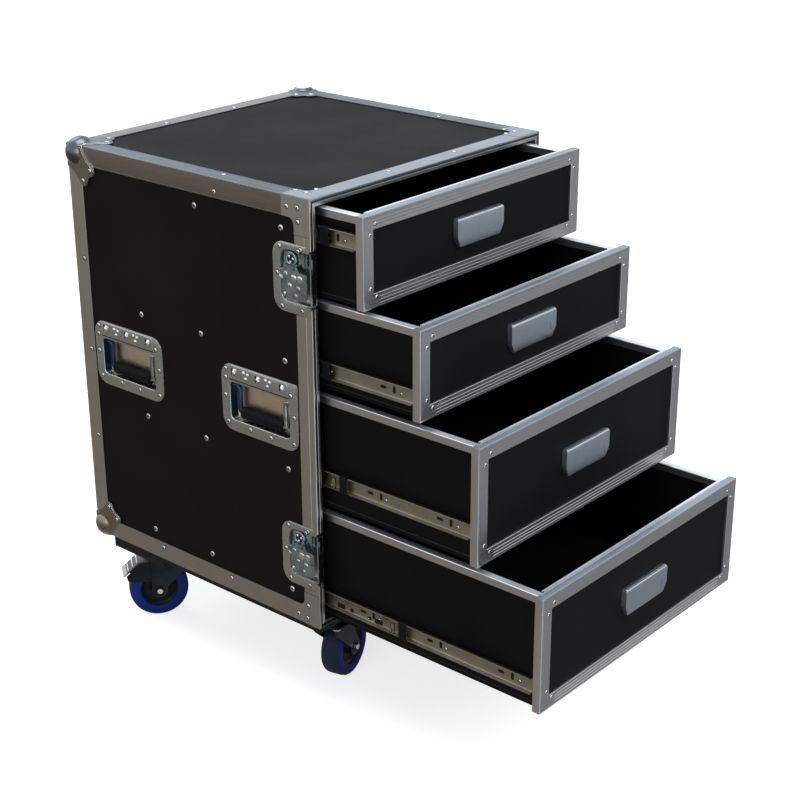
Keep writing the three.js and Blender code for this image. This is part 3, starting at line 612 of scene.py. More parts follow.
FILM_BOARD = Finish(
    "film_board", (19, 16, 15), (25, 21, 19), 0, (0.42, 0.6), 7, (700, 700, 90), 0.04, 0.06, (54, 47, 40),
    0.6)
TOP_BOARD = Finish("top_board_film", (28, 29, 33), (23, 24, 27), 0, (0.45, 0.6), 5, FINE, 0.03, 0.03)
BASE_BOARD = PlyEdge(
    "base_board", (17, 17, 17), (28, 26, 24), 0, (0.5, 0.8), 18, (120, 120, 900), 0.08, 0.2, (58, 50, 42),
    0.8)
DRAWER_BOARD = MeshBoard("drawer_board_mesh", (11, 11, 13), (17, 17, 19), 0, (0.45, 0.6), 8, FINE, 0.08, 0.06)
DRAWER_FRONT = MeshBoard("drawer_front_mesh", (17, 18, 19), (23, 24, 26), 0, (0.45, 0.6), 6, FINE, 0.06, 0.05)
CUT_EDGE = Finish("cut_board_edge", (52, 50, 48), (34, 33, 32), 0, (0.6, 0.8), 30, (60, 60, 1500), 0.05, 0.2)
EDGE_ALUMINIUM = drawn("low_aluminium", (180, 177, 170), (160, 157, 151), ALONG_Y)
SIDE_ALUMINIUM = drawn("side_aluminium", (188, 188, 184), (158, 157, 153), ALONG_Z)
# Bluish copy of the aluminium for the rim's and braces' upward faces: painted sky reflection.
RIM_TOP_REFLECTION = drawn("rim_top_reflection", (160, 173, 187), (138, 149, 161), ALONG_X)
# Darker copy of the aluminium for the top extrusions' flanges: painted shade.
SHADED_UPPER_ALUMINIUM = drawn("shaded_upper_aluminium", (132, 127, 117), (116, 111, 102), ALONG_Y)
# Darker bluish copy for the extrusions' and leaves' upward faces: painted sky reflection.
SKY_REFLECTION_ALUMINIUM = drawn("sky_reflection_aluminium", (102, 114, 128), (88, 99, 111), ALONG_Y)
CROSS_ALUMINIUM = drawn("cross_aluminium", (130, 132, 137), (112, 114, 119), ALONG_X, (0.24, 0.42))
SATIN_STEEL = drawn("pull_steel", (189, 198, 207), (169, 178, 187), (30, 900, 900), (0.3, 0.46), 16)
# Dark copy of the aluminium for the rim's faces low by the floor: painted shade.
SHADED_ALUMINIUM = Finish("shaded_aluminium", (78, 84, 86), (58, 63, 64), 1, (0.4, 0.6), 20, ALONG_X, 0.02)
FRAME_ALUMINIUM = Finish(
    "frame_ribs", (193, 194, 196), (175, 176, 178), 1, (0.3, 0.44), 12, BRUSHED, 0.01)
# Bluish copy of the frame's aluminium for its top faces: painted sky reflection.
FRAME_TOP_REFLECTION = Finish("frame_top_reflection", (158, 170, 186), (140, 152, 168), 0.82, (0.3, 0.46), 12, BRUSHED, 0.01)
# Near-white finish for the caps' upward faces and the top balls' crowns: painted highlight.
PAINTED_TOP_HIGHLIGHT = Finish("painted_top_highlight", (240, 244, 252), (222, 227, 238), 0.82, (0.3, 0.46), 12, BRUSHED, 0.01)
# Bright steel of rivets, screws and bolts, and also painted highlights on edges, knuckles, dimples, dents,
# the boss and the pedal's ridges.
RIVET_STEEL_AND_HIGHLIGHT = Finish("rivet_steel_and_highlight", (228, 230, 232), (176, 177, 178), 1, (0.14, 0.3), 60, FINE, 0.02)
# Dark steel of painted shade: rings round and discs in rivet heads, lines under braces, the hinge's fold and
# gaps, axle washers.
PAINTED_SHADE_STEEL = Finish("painted_shade_steel", (46, 45, 43), (32, 31, 30), 1, (0.4, 0.6), 60, FINE, 0.02)
ZINC = plated("bright_zinc", (190, 196, 195), (172, 177, 176), (0.2, 0.42))
# Tan copy of the zinc for the handle pan's floor: painted reflection.
PAN_REFLECTION_ZINC = plated("pan_reflection_zinc", (224, 211, 188), (198, 187, 166), (0.24, 0.44))
# Dark blue zinc of painted shade and dark reflection: pan wall, the bail's rear leg, the boss's middle.
SHADE_BLUE_ZINC = plated("shade_blue_zinc", (58, 84, 110), (34, 54, 76), (0.3, 0.5))
LEAF_ZINC = plated("leaf_zinc", (154, 150, 140), (128, 124, 114), (0.2, 0.4))
BLUE_ZINC = plated("blue_zinc", (192, 206, 212), (96, 108, 116), (0.12, 0.34), 60, 0.05)
# Darker zinc: the pedal's colour, and on the top balls a painted dark reflection.
DARKENED_ZINC = plated("darkened_zinc", (112, 116, 123), (70, 72, 77), (0.16, 0.34), 22)
# Dark copy of the zinc for the casters' plates, forks, cups and pedal cheeks under the case: painted shade.
SHADED_ZINC = plated("shaded_zinc", (52, 58, 62), (34, 38, 41), (0.24, 0.44), 24)
SLIDE_STEEL = plated("oiled_steel", (168, 165, 152), (138, 134, 120), (0.3, 0.5), 30, 0.04)
# Dark copy of the slide steel for the slides' upper faces: painted shade.
SLIDE_SHADE = plated("slide_shade", (58, 56, 52), (40, 40, 40), (0.4, 0.6), 30, 0.04)
BLACK_RUBBER = Finish("black_rubber", (9, 10, 13), (15, 16, 20), 0, (0.45, 0.7), 30, FINE, 0.06, 0.12)
BLACK_PLASTIC = Finish("black_plastic", (13, 13, 14), (22, 22, 23), 0, (0.4, 0.55), 30, FINE, 0.03, 0.15)
TYRE_BLUE = Finish("blue_tyre", (4, 46, 136), (10, 44, 112), 0, (0.45, 0.7), 24, FINE, 0.05, 0.2)
# Darker copy of the tyre's blue for its tread: painted shade.
SHADED_TREAD_BLUE = Finish("shaded_blue_tread", (24, 34, 60), (34, 38, 52), 0, (0.5, 0.75), 24, FINE, 0.06, 0.2)

# The rivets' steel with its painted highlights, and the dark steel of their painted shade.
RIVETS = (RIVET_STEEL_AND_HIGHLIGHT, PAINTED_SHADE_STEEL)
SLIDES = (SLIDE_STEEL, SLIDE_SHADE)


@dataclass
class Studio:
    """The floor, the lamps, the world and the camera.

    Attributes:
        stand: Where the camera stands, in metres.
        azimuth: The view's azimuth in degrees.
        elevation: How high it looks from, in degrees.
        roll: The camera's roll in degrees.
        lens: Its focal length for a 36 mm sensor.
    """

    stand: Point3 = (-1.8239, -1.57345, 1.4168)
    azimuth: float = -49.12
    elevation: float = 22.43
    roll: float = -0.26
    lens: float = 74.43

    def build(self) -> None:
        """Sets it all up."""
        bpy.context.scene.view_settings.view_transform = "Standard"
        self._camera()
        self._world()
        self._floor()
        self._floor_card("side_card", (-6.0, -0.3), (-0.45, 6.0), (142, 135, 127))
        self._floor_card("front_card", (-0.3, 6.0), (-6.0, -0.47), (146, 147, 149))
        self._lamp("key", (0.4, -3.6, 3.2), 2.4, 90)
        self._lamp("top", (-0.4, 0.2, 4.2), 2.8, 80)
        self._lamp("side", (-3.6, -1.0, 1.8), 1.8, 20)
        self._lamp("back", (0.6, 3.6, 3.4), 2.4, 40)

    def _camera(self) -> None:
        """Places the camera where the photograph was taken from."""
        turn, rise, roll = (math.radians(a) for a in (self.azimuth, self.elevation, self.roll))
        back = Vector((math.sin(turn) * math.cos(rise), -math.cos(turn) * math.cos(rise), math.sin(rise)))
        right = (-back).cross(Vector((0, 0, 1))).normalized()
        up = back.cross(right)
        rolled = math.cos(roll) * right + math.sin(roll) * up
        lens = bpy.data.cameras.new("camera")
        lens.lens = self.lens
        lens.sensor_width = 36
        camera = linked("camera", lens)
        camera.matrix_world = Matrix.Translation(self.stand) @ Matrix(
            (rolled, back.cross(rolled), back)).transposed().to_4x4()
        bpy.context.scene.camera = camera

    def _world(self) -> None:
        """Lights all round with a soft grey that the camera and reflections see as white."""
        world = bpy.data.worlds.new("studio")
        bpy.context.scene.world = world
        nodes = Nodes(world)
        soft = nodes.tree.nodes["Background"]
        nodes.feed(soft, {"Color": linear((214, 218, 224)), "Strength": 0.42})
        white = nodes.add("ShaderNodeBackground", {"Color": (1, 1, 1, 1), "Strength": 1.0})
        path = nodes.add("ShaderNodeLightPath").outputs
        seen = path["Is Camera Ray"]
        for key in ("Is Glossy Ray", "Is Transmission Ray"):
            seen = nodes.maths("MAXIMUM", seen, path[key])
        mix = nodes.add("ShaderNodeMixShader", {0: seen, 1: soft.outputs[0], 2: white.outputs[0]})
        nodes.show(mix, "World Output")

    def _sheet(self, name: str, x: Point2, y: Point2, z: float) -> tuple[bpy.types.Object, Nodes]:
        """Lays a flat sheet with a material of its own.

        Args:
            name: The sheet's name.
            x: Its span across the room, in metres.
            y: Its span along the room.
            z: Its height.

        Returns:
            The sheet and the nodes of its material.
        """
        mesh = bpy.data.meshes.new(name)
        corners = [(x[0], y[0], z), (x[1], y[0], z), (x[1], y[1], z), (x[0], y[1], z)]
        mesh.from_pydata(corners, [], [(0, 1, 2, 3)])
        mesh.materials.append(bpy.data.materials.new(name))
        return linked(name, mesh), Nodes(mesh.materials[0])

    def _floor(self) -> None:
        """Lays a white floor that keeps the object's shadow, and glows most for the camera."""
        reach = 14.0
        floor, nodes = self._sheet("floor", about(0, reach), about(0, reach), 0)
        nodes.feed(nodes.shader, {
            "Base Color": linear((236, 236, 236)), "Roughness": 0.8, "Specular IOR Level": 0.1})
        path = nodes.add("ShaderNodeLightPath").outputs
        glow: Socket | float = 0.0
        for key, share in (("Is Camera Ray", 0.74), ("Is Glossy Ray", 0.2), ("Is Transmission Ray", 0.2)):
            glow = nodes.maths("MULTIPLY_ADD", path[key], share, glow)
        lit = nodes.add("ShaderNodeEmission", {"Color": (1, 1, 1, 1), "Strength": glow})
        nodes.show(nodes.add("ShaderNodeAddShader", {0: nodes.shader.outputs[0], 1: lit.outputs[0]}))

    def _floor_card(self, name: str, x: Point2, y: Point2, colour: Colour) -> None:
        """Lays a grey card on the floor that glows for gloss alone, a painted reflection that gives upright
        metal some depth.
        """
        card, nodes = self._sheet(name, x, y, 0.004)
        nodes.show(nodes.add("ShaderNodeEmission", {"Color": linear(colour)}))
        for ray in ("camera", "diffuse", "transmission", "volume_scatter", "shadow"):
            setattr(card, f"visible_{ray}", False)

    def _lamp(self, name: str, place: Point3, size: float, power: float) -> None:
        """Hangs a square soft lamp that faces the object."""
        light = bpy.data.lights.new(name, "AREA")
        light.size = size
        light.energy = power
        lamp = linked(name, light)
        lamp.location = place
        middle = Vector((0, 0, 0.4))
        lamp.rotation_euler = (middle - Vector(place)).to_track_quat("-Z", "Y").to_euler()


@dataclass
class Cabinet:
    """The boards, the edge extrusions with their rivets, and the outer slide members.

    Attributes:
        slide_levels: The heights of the drawers' slides, from the lowest.
        rivet_inset: How far the rivets stand in from the edges.
        rivet_pitch: The distance between rivets.
        first_rivet: Where the first rivet behind the rim stands.
        outer_radius: The radius of the extrusions' corner.
        lip_width: The rim's lip, from the outside.
        lip_thick: The lip's thickness.
        groove_end: Where the rim's groove ends, from the outside.
        groove_depth: How deep the groove is.
        rim_back: Where the rim's tongue ends.
        seat_front: Where the seats of the latches' plates begin.
        end_cut: How far the rim's ends slope back at the latches.
        hidden_end: How far the extrusions' ends stand in under the corners.
        base_back: Where the base board ends.
    """

    slide_levels: Sequence[float]
    rivet_inset: float = 21.0
    rivet_pitch: float = 151.7
    first_rivet: float = 188.5
    outer_radius: float = 1.2
    lip_width: float = 3.4
    lip_thick: float = 2.0
    groove_end: float = 6.2
    groove_depth: float = 8.0
    rim_back: float = 9.5
    seat_front: float = 9.2
    end_cut: float = 5.0
    hidden_end: float = 12.0
    base_back: float = 478.0

    def build(self) -> None:
        """Makes every piece of the cabinet."""
        keep("top_panel", TOP_BOARD, 0.4)
        keep("back_panel", FILM_BOARD, 0.4)
        self._rim()
        self._extrusions()
        self._rivets()
        count, rivets = len(self.slide_levels), (58, 234, 368)
        for name, side in SIDES.items():
            self._side_board(name, side)
            for number, level in zip(range(count, 0, -1), self.slide_levels):
                outside = rivets[:2] if number == 1 else rivets
                outer_slide(f"{name}_outer_slide_{number}", side, level, outside)
        self._base()

    def rim_profile(self) -> list[Point2]:
        """Gives the rim's profile of inset and depth: lip, groove, tongue and flange."""
        line, dip, chamfer = 11.5, 0.45, 0.4
        lip, groove, back = self.lip_width, self.groove_end, self.rim_back
        return [
            (0.8, 0), (lip - 0.5, 0), (lip, 0.5), (lip, self.lip_thick), (SKIN, self.lip_thick),
            (SKIN, self.groove_depth), (groove, self.groove_depth), (groove, chamfer), (groove + chamfer, 0),
            (WALL - chamfer, 0), (WALL, chamfer), (WALL, back), (SKIN, back), (SKIN, FLANGE), (FIT, FLANGE),
            (0, FLANGE - FIT), (0, line + dip), (dip, line), (0, line - dip), (0, 0.8),
        ]

    def _rim(self) -> None:
        """Carries the rim round the front and cuts the latches' seats out of it."""
        rim = Shape()
        rim.ring(self.rim_profile(), about(0, HALF_WIDTH), (0, CASE_HEIGHT))
        low, high = (reach + FIT for reach in LATCH_PAN)
        half = LATCH_HALF + FIT
        plate_seats, pan_seats, cuts = Shape(), Shape(), Shape()
        for side in SIDES.values():
            outside, board, inside = (
                side * (HALF_WIDTH - depth) for depth in (-PAST, BOARD_FACE, WALL + PAST))
            for z in LATCH_LEVELS.values():
                plate_seats.block((outside, board), (self.seat_front, FLANGE + PAST), about(z, half))
                pan_seats.block((outside, inside), (-PAST, FLANGE + PAST), (z - low, z + high))
                for end, way in ((z + high, 1), (z - low, -1)):
                    wedge = [
                        (-PAST, end - way), (self.end_cut + 1, end - way),
                        (-PAST, end + way * (self.end_cut + PAST))]
                    cuts.bar(Axis.X, wedge, inside, outside)
        made = rim.combined(plate_seats).combined(pan_seats).combined(cuts).piece(
            "front_rim", "case", [SIDE_ALUMINIUM, SHADED_ALUMINIUM, RIM_TOP_REFLECTION], "edge_aluminium", ["edge_frame"])
        # Upward faces high on the rim take a bluish painted sky reflection.
        shade(made, lambda face: looks_up(face) and face.center.z > 0.5, 2)
        # Faces low on the rim, by the floor, take the dark painted shade.
        foot = LIFT * METRE + 0.013
        shade(made, lambda face: face.center.z < foot and abs(face.normal.x) < 0.5)

    def angle_profile(self) -> list[Point2]:
        """Gives an extrusion's section: two flanges from a round corner, each with a bead at its end."""
        bead, rise = 1.6, 0.25
        corner = arc(self.outer_radius, self.outer_radius, self.outer_radius, 270, 180, 5)
        low = [(FLANGE, FIT), (FLANGE - FIT, 0), (FLANGE - bead, 0), (FLANGE - bead - rise, rise), *corner]
        high = [(b, a) for a, b in reversed(low[:4])]
        return [*low, *high, (SKIN, FLANGE), (SKIN, SKIN), (FLANGE, SKIN)]

    def _extrusions(self) -> None:
        """Makes the extrusions behind the rim."""
        profile, short = self.angle_profile(), self.hidden_end

        def extrusion(
            name: str, axis: Axis, outline: list[Point2], low: float, high: float, *paints: Finish,
        ) -> None:
            """Makes one extrusion, whose second finish, a bluish painted sky reflection, is for what looks
            up.
            """
            edge = Shape()
            edge.bar(axis, outline, low, high)
            made = edge.piece(name, "case", paints, "edge_aluminium")
            if len(paints) > 1:
                shade(made, looks_up)

        for name, side in SIDES.items():
            for level, (z0, up) in LEVELS.items():
                outline = [(side * (HALF_WIDTH - a), z0 + up * b) for a, b in profile]
                # The top extrusions' flanges take the darker copy, painted shade.
                flange = SHADED_UPPER_ALUMINIUM if up < 0 else EDGE_ALUMINIUM
                extrusion(
                    f"{name}_{level}_edge", Axis.Y, outline, FLANGE + 0.2, CASE_DEPTH - short, flange,
                    SKY_REFLECTION_ALUMINIUM)
            outline = [(side * (HALF_WIDTH - a), CASE_DEPTH - b) for a, b in profile]
            extrusion(f"{name}_back_edge", Axis.Z, outline, short, CASE_HEIGHT - short, SIDE_ALUMINIUM)
        for level, (z0, up) in LEVELS.items():
            outline = [(CASE_DEPTH - a, z0 + up * b) for a, b in profile]
            extrusion(f"back_{level}_edge", Axis.X, outline, *about(0, HALF_WIDTH - short), CROSS_ALUMINIUM)

    def _rivets(self) -> None:
        """Sets the rows of rivets along the extrusions."""
        rows, near, first = Shape(), self.rivet_inset, self.first_rivet
        lower_y = (first + 1.5, first + self.rivet_pitch + 9)
        back_z = [180.5 + self.rivet_pitch * i for i in range(3)]
        across_x = (-75.0, 75.0)
        for side in SIDES.values():
            face, flange = side * HALF_WIDTH, side * (HALF_WIDTH - near)
            rows.dome((face, first, CASE_HEIGHT - near), Axis.X, side)
            rows.dome((flange, first, CASE_HEIGHT), Axis.Z, 1)
            for y in lower_y:
                rows.dome((face, y, near), Axis.X, side)
            for z in back_z:
                rows.dome((face, CASE_DEPTH - near, z), Axis.X, side)
                rows.dome((flange, CASE_DEPTH, z), Axis.Y, 1)
        for x in across_x:
            rows.dome((x, CASE_DEPTH - near, CASE_HEIGHT), Axis.Z, 1)
            for z in (near, CASE_HEIGHT - near):
                rows.dome((x, CASE_DEPTH, z), Axis.Y, 1)
            rows.dome((x, near, CASE_HEIGHT), Axis.Z, 1)
        rows.heads("edge_rivets", "case", "edge_aluminium")

    def _side_board(self, name: str, side: int) -> None:
        """Cuts one side board round its handles and latches."""
        outline = rounded(
            (self.rim_back + FIT, CASE_DEPTH - BOARD_FACE), (WALL + FIT, CASE_HEIGHT - WALL - FIT), 0.6, 1)
        margin = RecessedHandle.wall + FIT
        holes = [RecessedHandle(place, side, y).mouth(margin) for place, y in HANDLE_PLACES.items()]
        board, tool = Shape(), Shape()
        board.plate(Axis.X, outline, HALF_WIDTH - BOARD_FACE, SLIDE_INNER, holes)
        for z in LATCH_LEVELS.values():
            tool.bar(Axis.X, TwistLatch.mouth(z, -4, FIT), SLIDE_INNER - PAST, HALF_WIDTH + PAST)
        board.combined(tool).mirrored(side)
        board.piece(f"{name}_side_board", "case", [FILM_BOARD], "board", [f"{name}_panel"])

    def _base(self) -> None:
        """Lays the boards under the cabinet."""
        across, back, board_low = HALF_WIDTH - 3, self.base_back, -9.3
        base = Shape()
        base.block(about(0, across), (3, back), (board_low, -FIT))
        depth = (self.rim_back + FIT, CASE_DEPTH - BOARD_FACE)
        base.block(about(0, HALF_WIDTH - BOARD_FACE), depth, (BOARD_FACE, WALL))
        base.piece("base_board", "case", [BASE_BOARD], "raw_board", ["bottom_board"], bevel=0.6)
        for name, half, span in (
            ("front_batten", across - 30, (20, 108)), ("rear_batten", across, (back - 122, back)),
        ):
            batten = Shape()
            batten.block(about(0, half), span, (-BOARD_UNDER, board_low - 0.2))
            batten.piece(name, "case", [BASE_BOARD], "raw_board", bevel=0.8)


def channel_outline(side: int, web: float, tip: float, half: float, thick: float, z: float) -> list[Point2]:
    """Outlines a slide's channel in x and z, with bent corners and rims that turn in.

    Args:
        side: The side of the object.
        web: Where the web's back is, from the middle plane.
        tip: Where the flanges end.
        half: Half the channel's height.
        thick: The steel's thickness.
        z: The channel's middle height.

    Returns:
        The section's points.
    """
    way = 1 if tip > web else -1
    bend = 2.4

    def corner(radius: float) -> list[Point2]:
        """Bends one corner with a radius."""
        turns = (0.5, 1.05, 1.5708)
        return [
            (web + way * (bend - radius * math.sin(a)), half - bend + radius * math.cos(a)) for a in turns]

    upper: list[Point2] = [(tip, half - thick), (tip, half - 0.3), (tip - way * 0.3, half)]
    upper += [(web + way * bend, half), *corner(bend)]
    inner: list[Point2] = [(tip - way * 0.2, half - thick), (web + way * bend, half - thick)]
    inner += corner(bend - thick)
    outer = upper + [(w, -h) for w, h in reversed(upper)]
    inside = inner + [(w, -h) for w, h in reversed(inner)]
    return [(side * w, z + h) for w, h in outer + list(reversed(inside[1:-1]))]


def outer_slide(name: str, side: int, z: float, outside: Sequence[float]) -> None:
    """Makes an outer slide member on the cabinet's side, with its screws and the rivets outside."""
    steel, front, back = 1.2, 23, 473
    rail = Shape()
    rail.bar(Axis.Y, channel_outline(side, SLIDE_INNER, SLIDE_INNER - 10.2, 22.5, steel, z), front, back)
    shade_top(rail.piece(name, "case", SLIDES, "slide_steel", smooth=50))
    screws = Shape()
    for y in (58, 232, 366):
        screws.dome((side * (SLIDE_INNER - steel), y, z), Axis.X, -side, 4, 0.3)
    for y in outside:
        screws.dome((side * (HALF_WIDTH - BOARD_FACE), y, z), Axis.X, side, 4.6, 1.2)
    screws.heads(f"{name}_screws", "case", "slide_steel")


@dataclass
class CornerFittings:
    """The ball corners at the back and the riveted braces at the rim's corners.

    Attributes:
        ball_inset: How far the balls' middles stand in from the edges.
        ball_radius: The balls' radius.
        leaf_thick: The thickness of a leaf's edge.
        root: A leaf's width at the corner.
        far: The reach of a lobe's middle along its own edge.
        near: Its reach along the other edge.
        lobe: A lobe's radius.
        brace_thick: The braces' thickness.
        bead: The width of a leaf's low edge.
        bead_rise: How far a leaf's middle stands above its edge.
    """

    ball_inset: float = 15.0
    ball_radius: float = 24.6
    leaf_thick: float = 1.5
    root: float = 36.0
    far: float = 54.0
    near: float = 36.0
    lobe: float = 9.0
    brace_thick: float = 0.5
    bead: float = 3.0
    bead_rise: float = 0.8

    def build(self) -> None:
        """Makes the four ball corners and the braces."""
        for name, side in SIDES.items():
            for level, (z0, up) in LEVELS.items():
                self._ball(f"{name}_{level}_ball_corner", side, z0, up)
                self._leaves(f"{name}_{level}_ball_corner", side, z0, up)
                self._brace(f"{name}_{level}_brace", side, z0, up)

    def leaf_outline(self) -> list[Point2]:
        """Outlines a leaf, away from its corner: a root and two lobes with hollow sides."""
        lobe_a = arc(self.far, self.near, self.lobe, -62, 62, 7)
        lobe_b = arc(self.near, self.far, self.lobe, 28, 152, 7)
        low = [(0.0, 0.0), (self.root, 0.0), (self.root + 4, 9), (self.root + 12, 20)]
        high = [(b, a) for a, b in reversed(low[1:])]
        between = (self.far - 5.5, self.far - 5.5)
        return [*low, *lobe_a, between, *lobe_b, *high]

    def leaf_middle(self) -> list[Point2]:
        """Outlines the raised middle of a leaf, a little inside its edge."""
        points = self.leaf_outline()
        inner: list[Point2] = []
        for i, (u, v) in enumerate(points):
            (ua, va), (ub, vb) = points[i - 1], points[(i + 1) % len(points)]
            du, dv = ub - ua, vb - va
            size = math.hypot(du, dv) or 1.0
            inner.append((u - self.bead * dv / size, v + self.bead * du / size))
        return inner

    def _ball(self, name: str, side: int, z0: float, up: int) -> None:
        """Makes one ball, hollowed where the boards meet."""
        steps, inset, reach = 18, self.ball_inset, 60
        profile = [(self.ball_radius * math.sin(a), -self.ball_radius * math.cos(a)) for a in (
            math.pi * i / steps for i in range(1, steps))]
        ball, tool = Shape(), Shape()
        ball.turned(profile, (HALF_WIDTH - inset, CASE_DEPTH - inset, z0 + up * inset), Axis.Z, 36)
        low, high = sorted((z0 + up * (WALL - 1), z0 + up * reach))
        tool.block((150, HALF_WIDTH - WALL + 1), (CASE_DEPTH - reach, CASE_DEPTH - WALL + 1), (low, high))
        ball.combined(tool).mirrored(side)
        # The top balls take the darker zinc as a painted dark reflection, and their crowns' upward faces a
        # painted highlight.
        made = ball.piece(name, "case", [DARKENED_ZINC if up < 0 else LEAF_ZINC, PAINTED_TOP_HIGHLIGHT], "zinc", smooth=60)
        crown = 0.86
        shade(made, lambda face: up < 0 and face.normal.z > crown)

    def _leaves(self, name: str, side: int, z0: float, up: int) -> None:
        """Folds the ball's leaves over the faces beside it and rivets them."""
        leaves, rivets = Shape(), Shape()
        rise, x, y = self.leaf_thick, HALF_WIDTH, CASE_DEPTH
        head = rise + self.bead_rise
        for outline, low, high in ((self.leaf_outline(), 0.0, rise), (self.leaf_middle(), rise - 0.2, head)):
            leaves.bar(Axis.X, [(y - u, z0 + up * v) for u, v in outline], x + low, x + high)
            leaves.bar(Axis.Y, [(x - u, z0 + up * v) for u, v in outline], y + low, y + high)
            if up < 0:
                leaves.bar(Axis.Z, [(x - u, y - v) for u, v in outline], z0 + low, z0 + high)
        for u, v in ((self.far, self.near), (self.near, self.far)):
            rivets.dome((x + head, y - u, z0 + up * v), Axis.X, 1)
            rivets.dome((x - u, y + head, z0 + up * v), Axis.Y, 1)
            if up < 0:
                rivets.dome((x - u, y - v, z0 + head), Axis.Z, 1)
        made = leaves.mirrored(side).piece(
            f"{name}_leaves", "case", [LEAF_ZINC, RIVET_STEEL_AND_HIGHLIGHT, SKY_REFLECTION_ALUMINIUM], "zinc", bevel=0.3, smooth=30)
        # Upward faces take a painted sky reflection, and the side faces of the edges painted highlights.
        shade(made, looks_up, 2)
        shade(made, lambda face: len(face.vertices) == 4)
        rivets.mirrored(side).heads(f"{name}_rivets", "case", "zinc")

    def _brace(self, name: str, side: int, z0: float, up: int) -> None:
        """Makes the thin braces over one front corner of the rim, with three rivets in each."""
        edge, reach, fillet, joint = 1.0, 54.0, 11.0, 0.7
        bend = FLANGE + fillet
        outline = [
            (edge, edge), (reach, edge), (reach, FLANGE), (bend, FLANGE),
            *arc(bend, bend, fillet, 252, 198, 4), (FLANGE, bend), (FLANGE, reach), (edge, reach),
        ]
        upper = ((43.5, 16.0), (23.2, 15.2), (23.1, 35.0))
        lower = ((23.2, 32.1), (43.9, 12.4), (25, 10.7))
        plates, rivets = Shape(), Shape()
        face = HALF_WIDTH + self.brace_thick
        shadow = [(u + (joint if u > edge else 0), v + (joint if v > edge else 0)) for u, v in outline]
        plates.plate(Axis.X, [(u, z0 + up * v) for u, v in outline], HALF_WIDTH, face)
        # A dark plate a little larger than the brace, under it, paints a thin shadow line round its edges.
        plates.plate(Axis.X, [(u, z0 + up * v) for u, v in shadow], HALF_WIDTH, HALF_WIDTH + 0.12, paint=1)
        for u, v in upper if up < 0 else lower:
            rivets.dome((face, u, z0 + up * v), Axis.X, 1)
        if up < 0:
            plates.plate(Axis.Z, [(HALF_WIDTH - u, v) for u, v in outline], z0, z0 + self.brace_thick)
            for u, v in ((25.9, 50.5), (26.1, 29.8), (47.0, 30.7)):
                rivets.dome((HALF_WIDTH - u, v, z0 + self.brace_thick), Axis.Z, 1)
        made = plates.mirrored(side).piece(
            name, "case", [SIDE_ALUMINIUM, PAINTED_SHADE_STEEL, RIM_TOP_REFLECTION], "edge_aluminium", bevel=0.08)
        # The brace's upward faces take a bluish painted sky reflection.
        shade(made, lambda face: looks_up(face) and face.material_index == 0, 2)
        rivets.mirrored(side).heads(f"{name}_rivets", "case", "zinc")


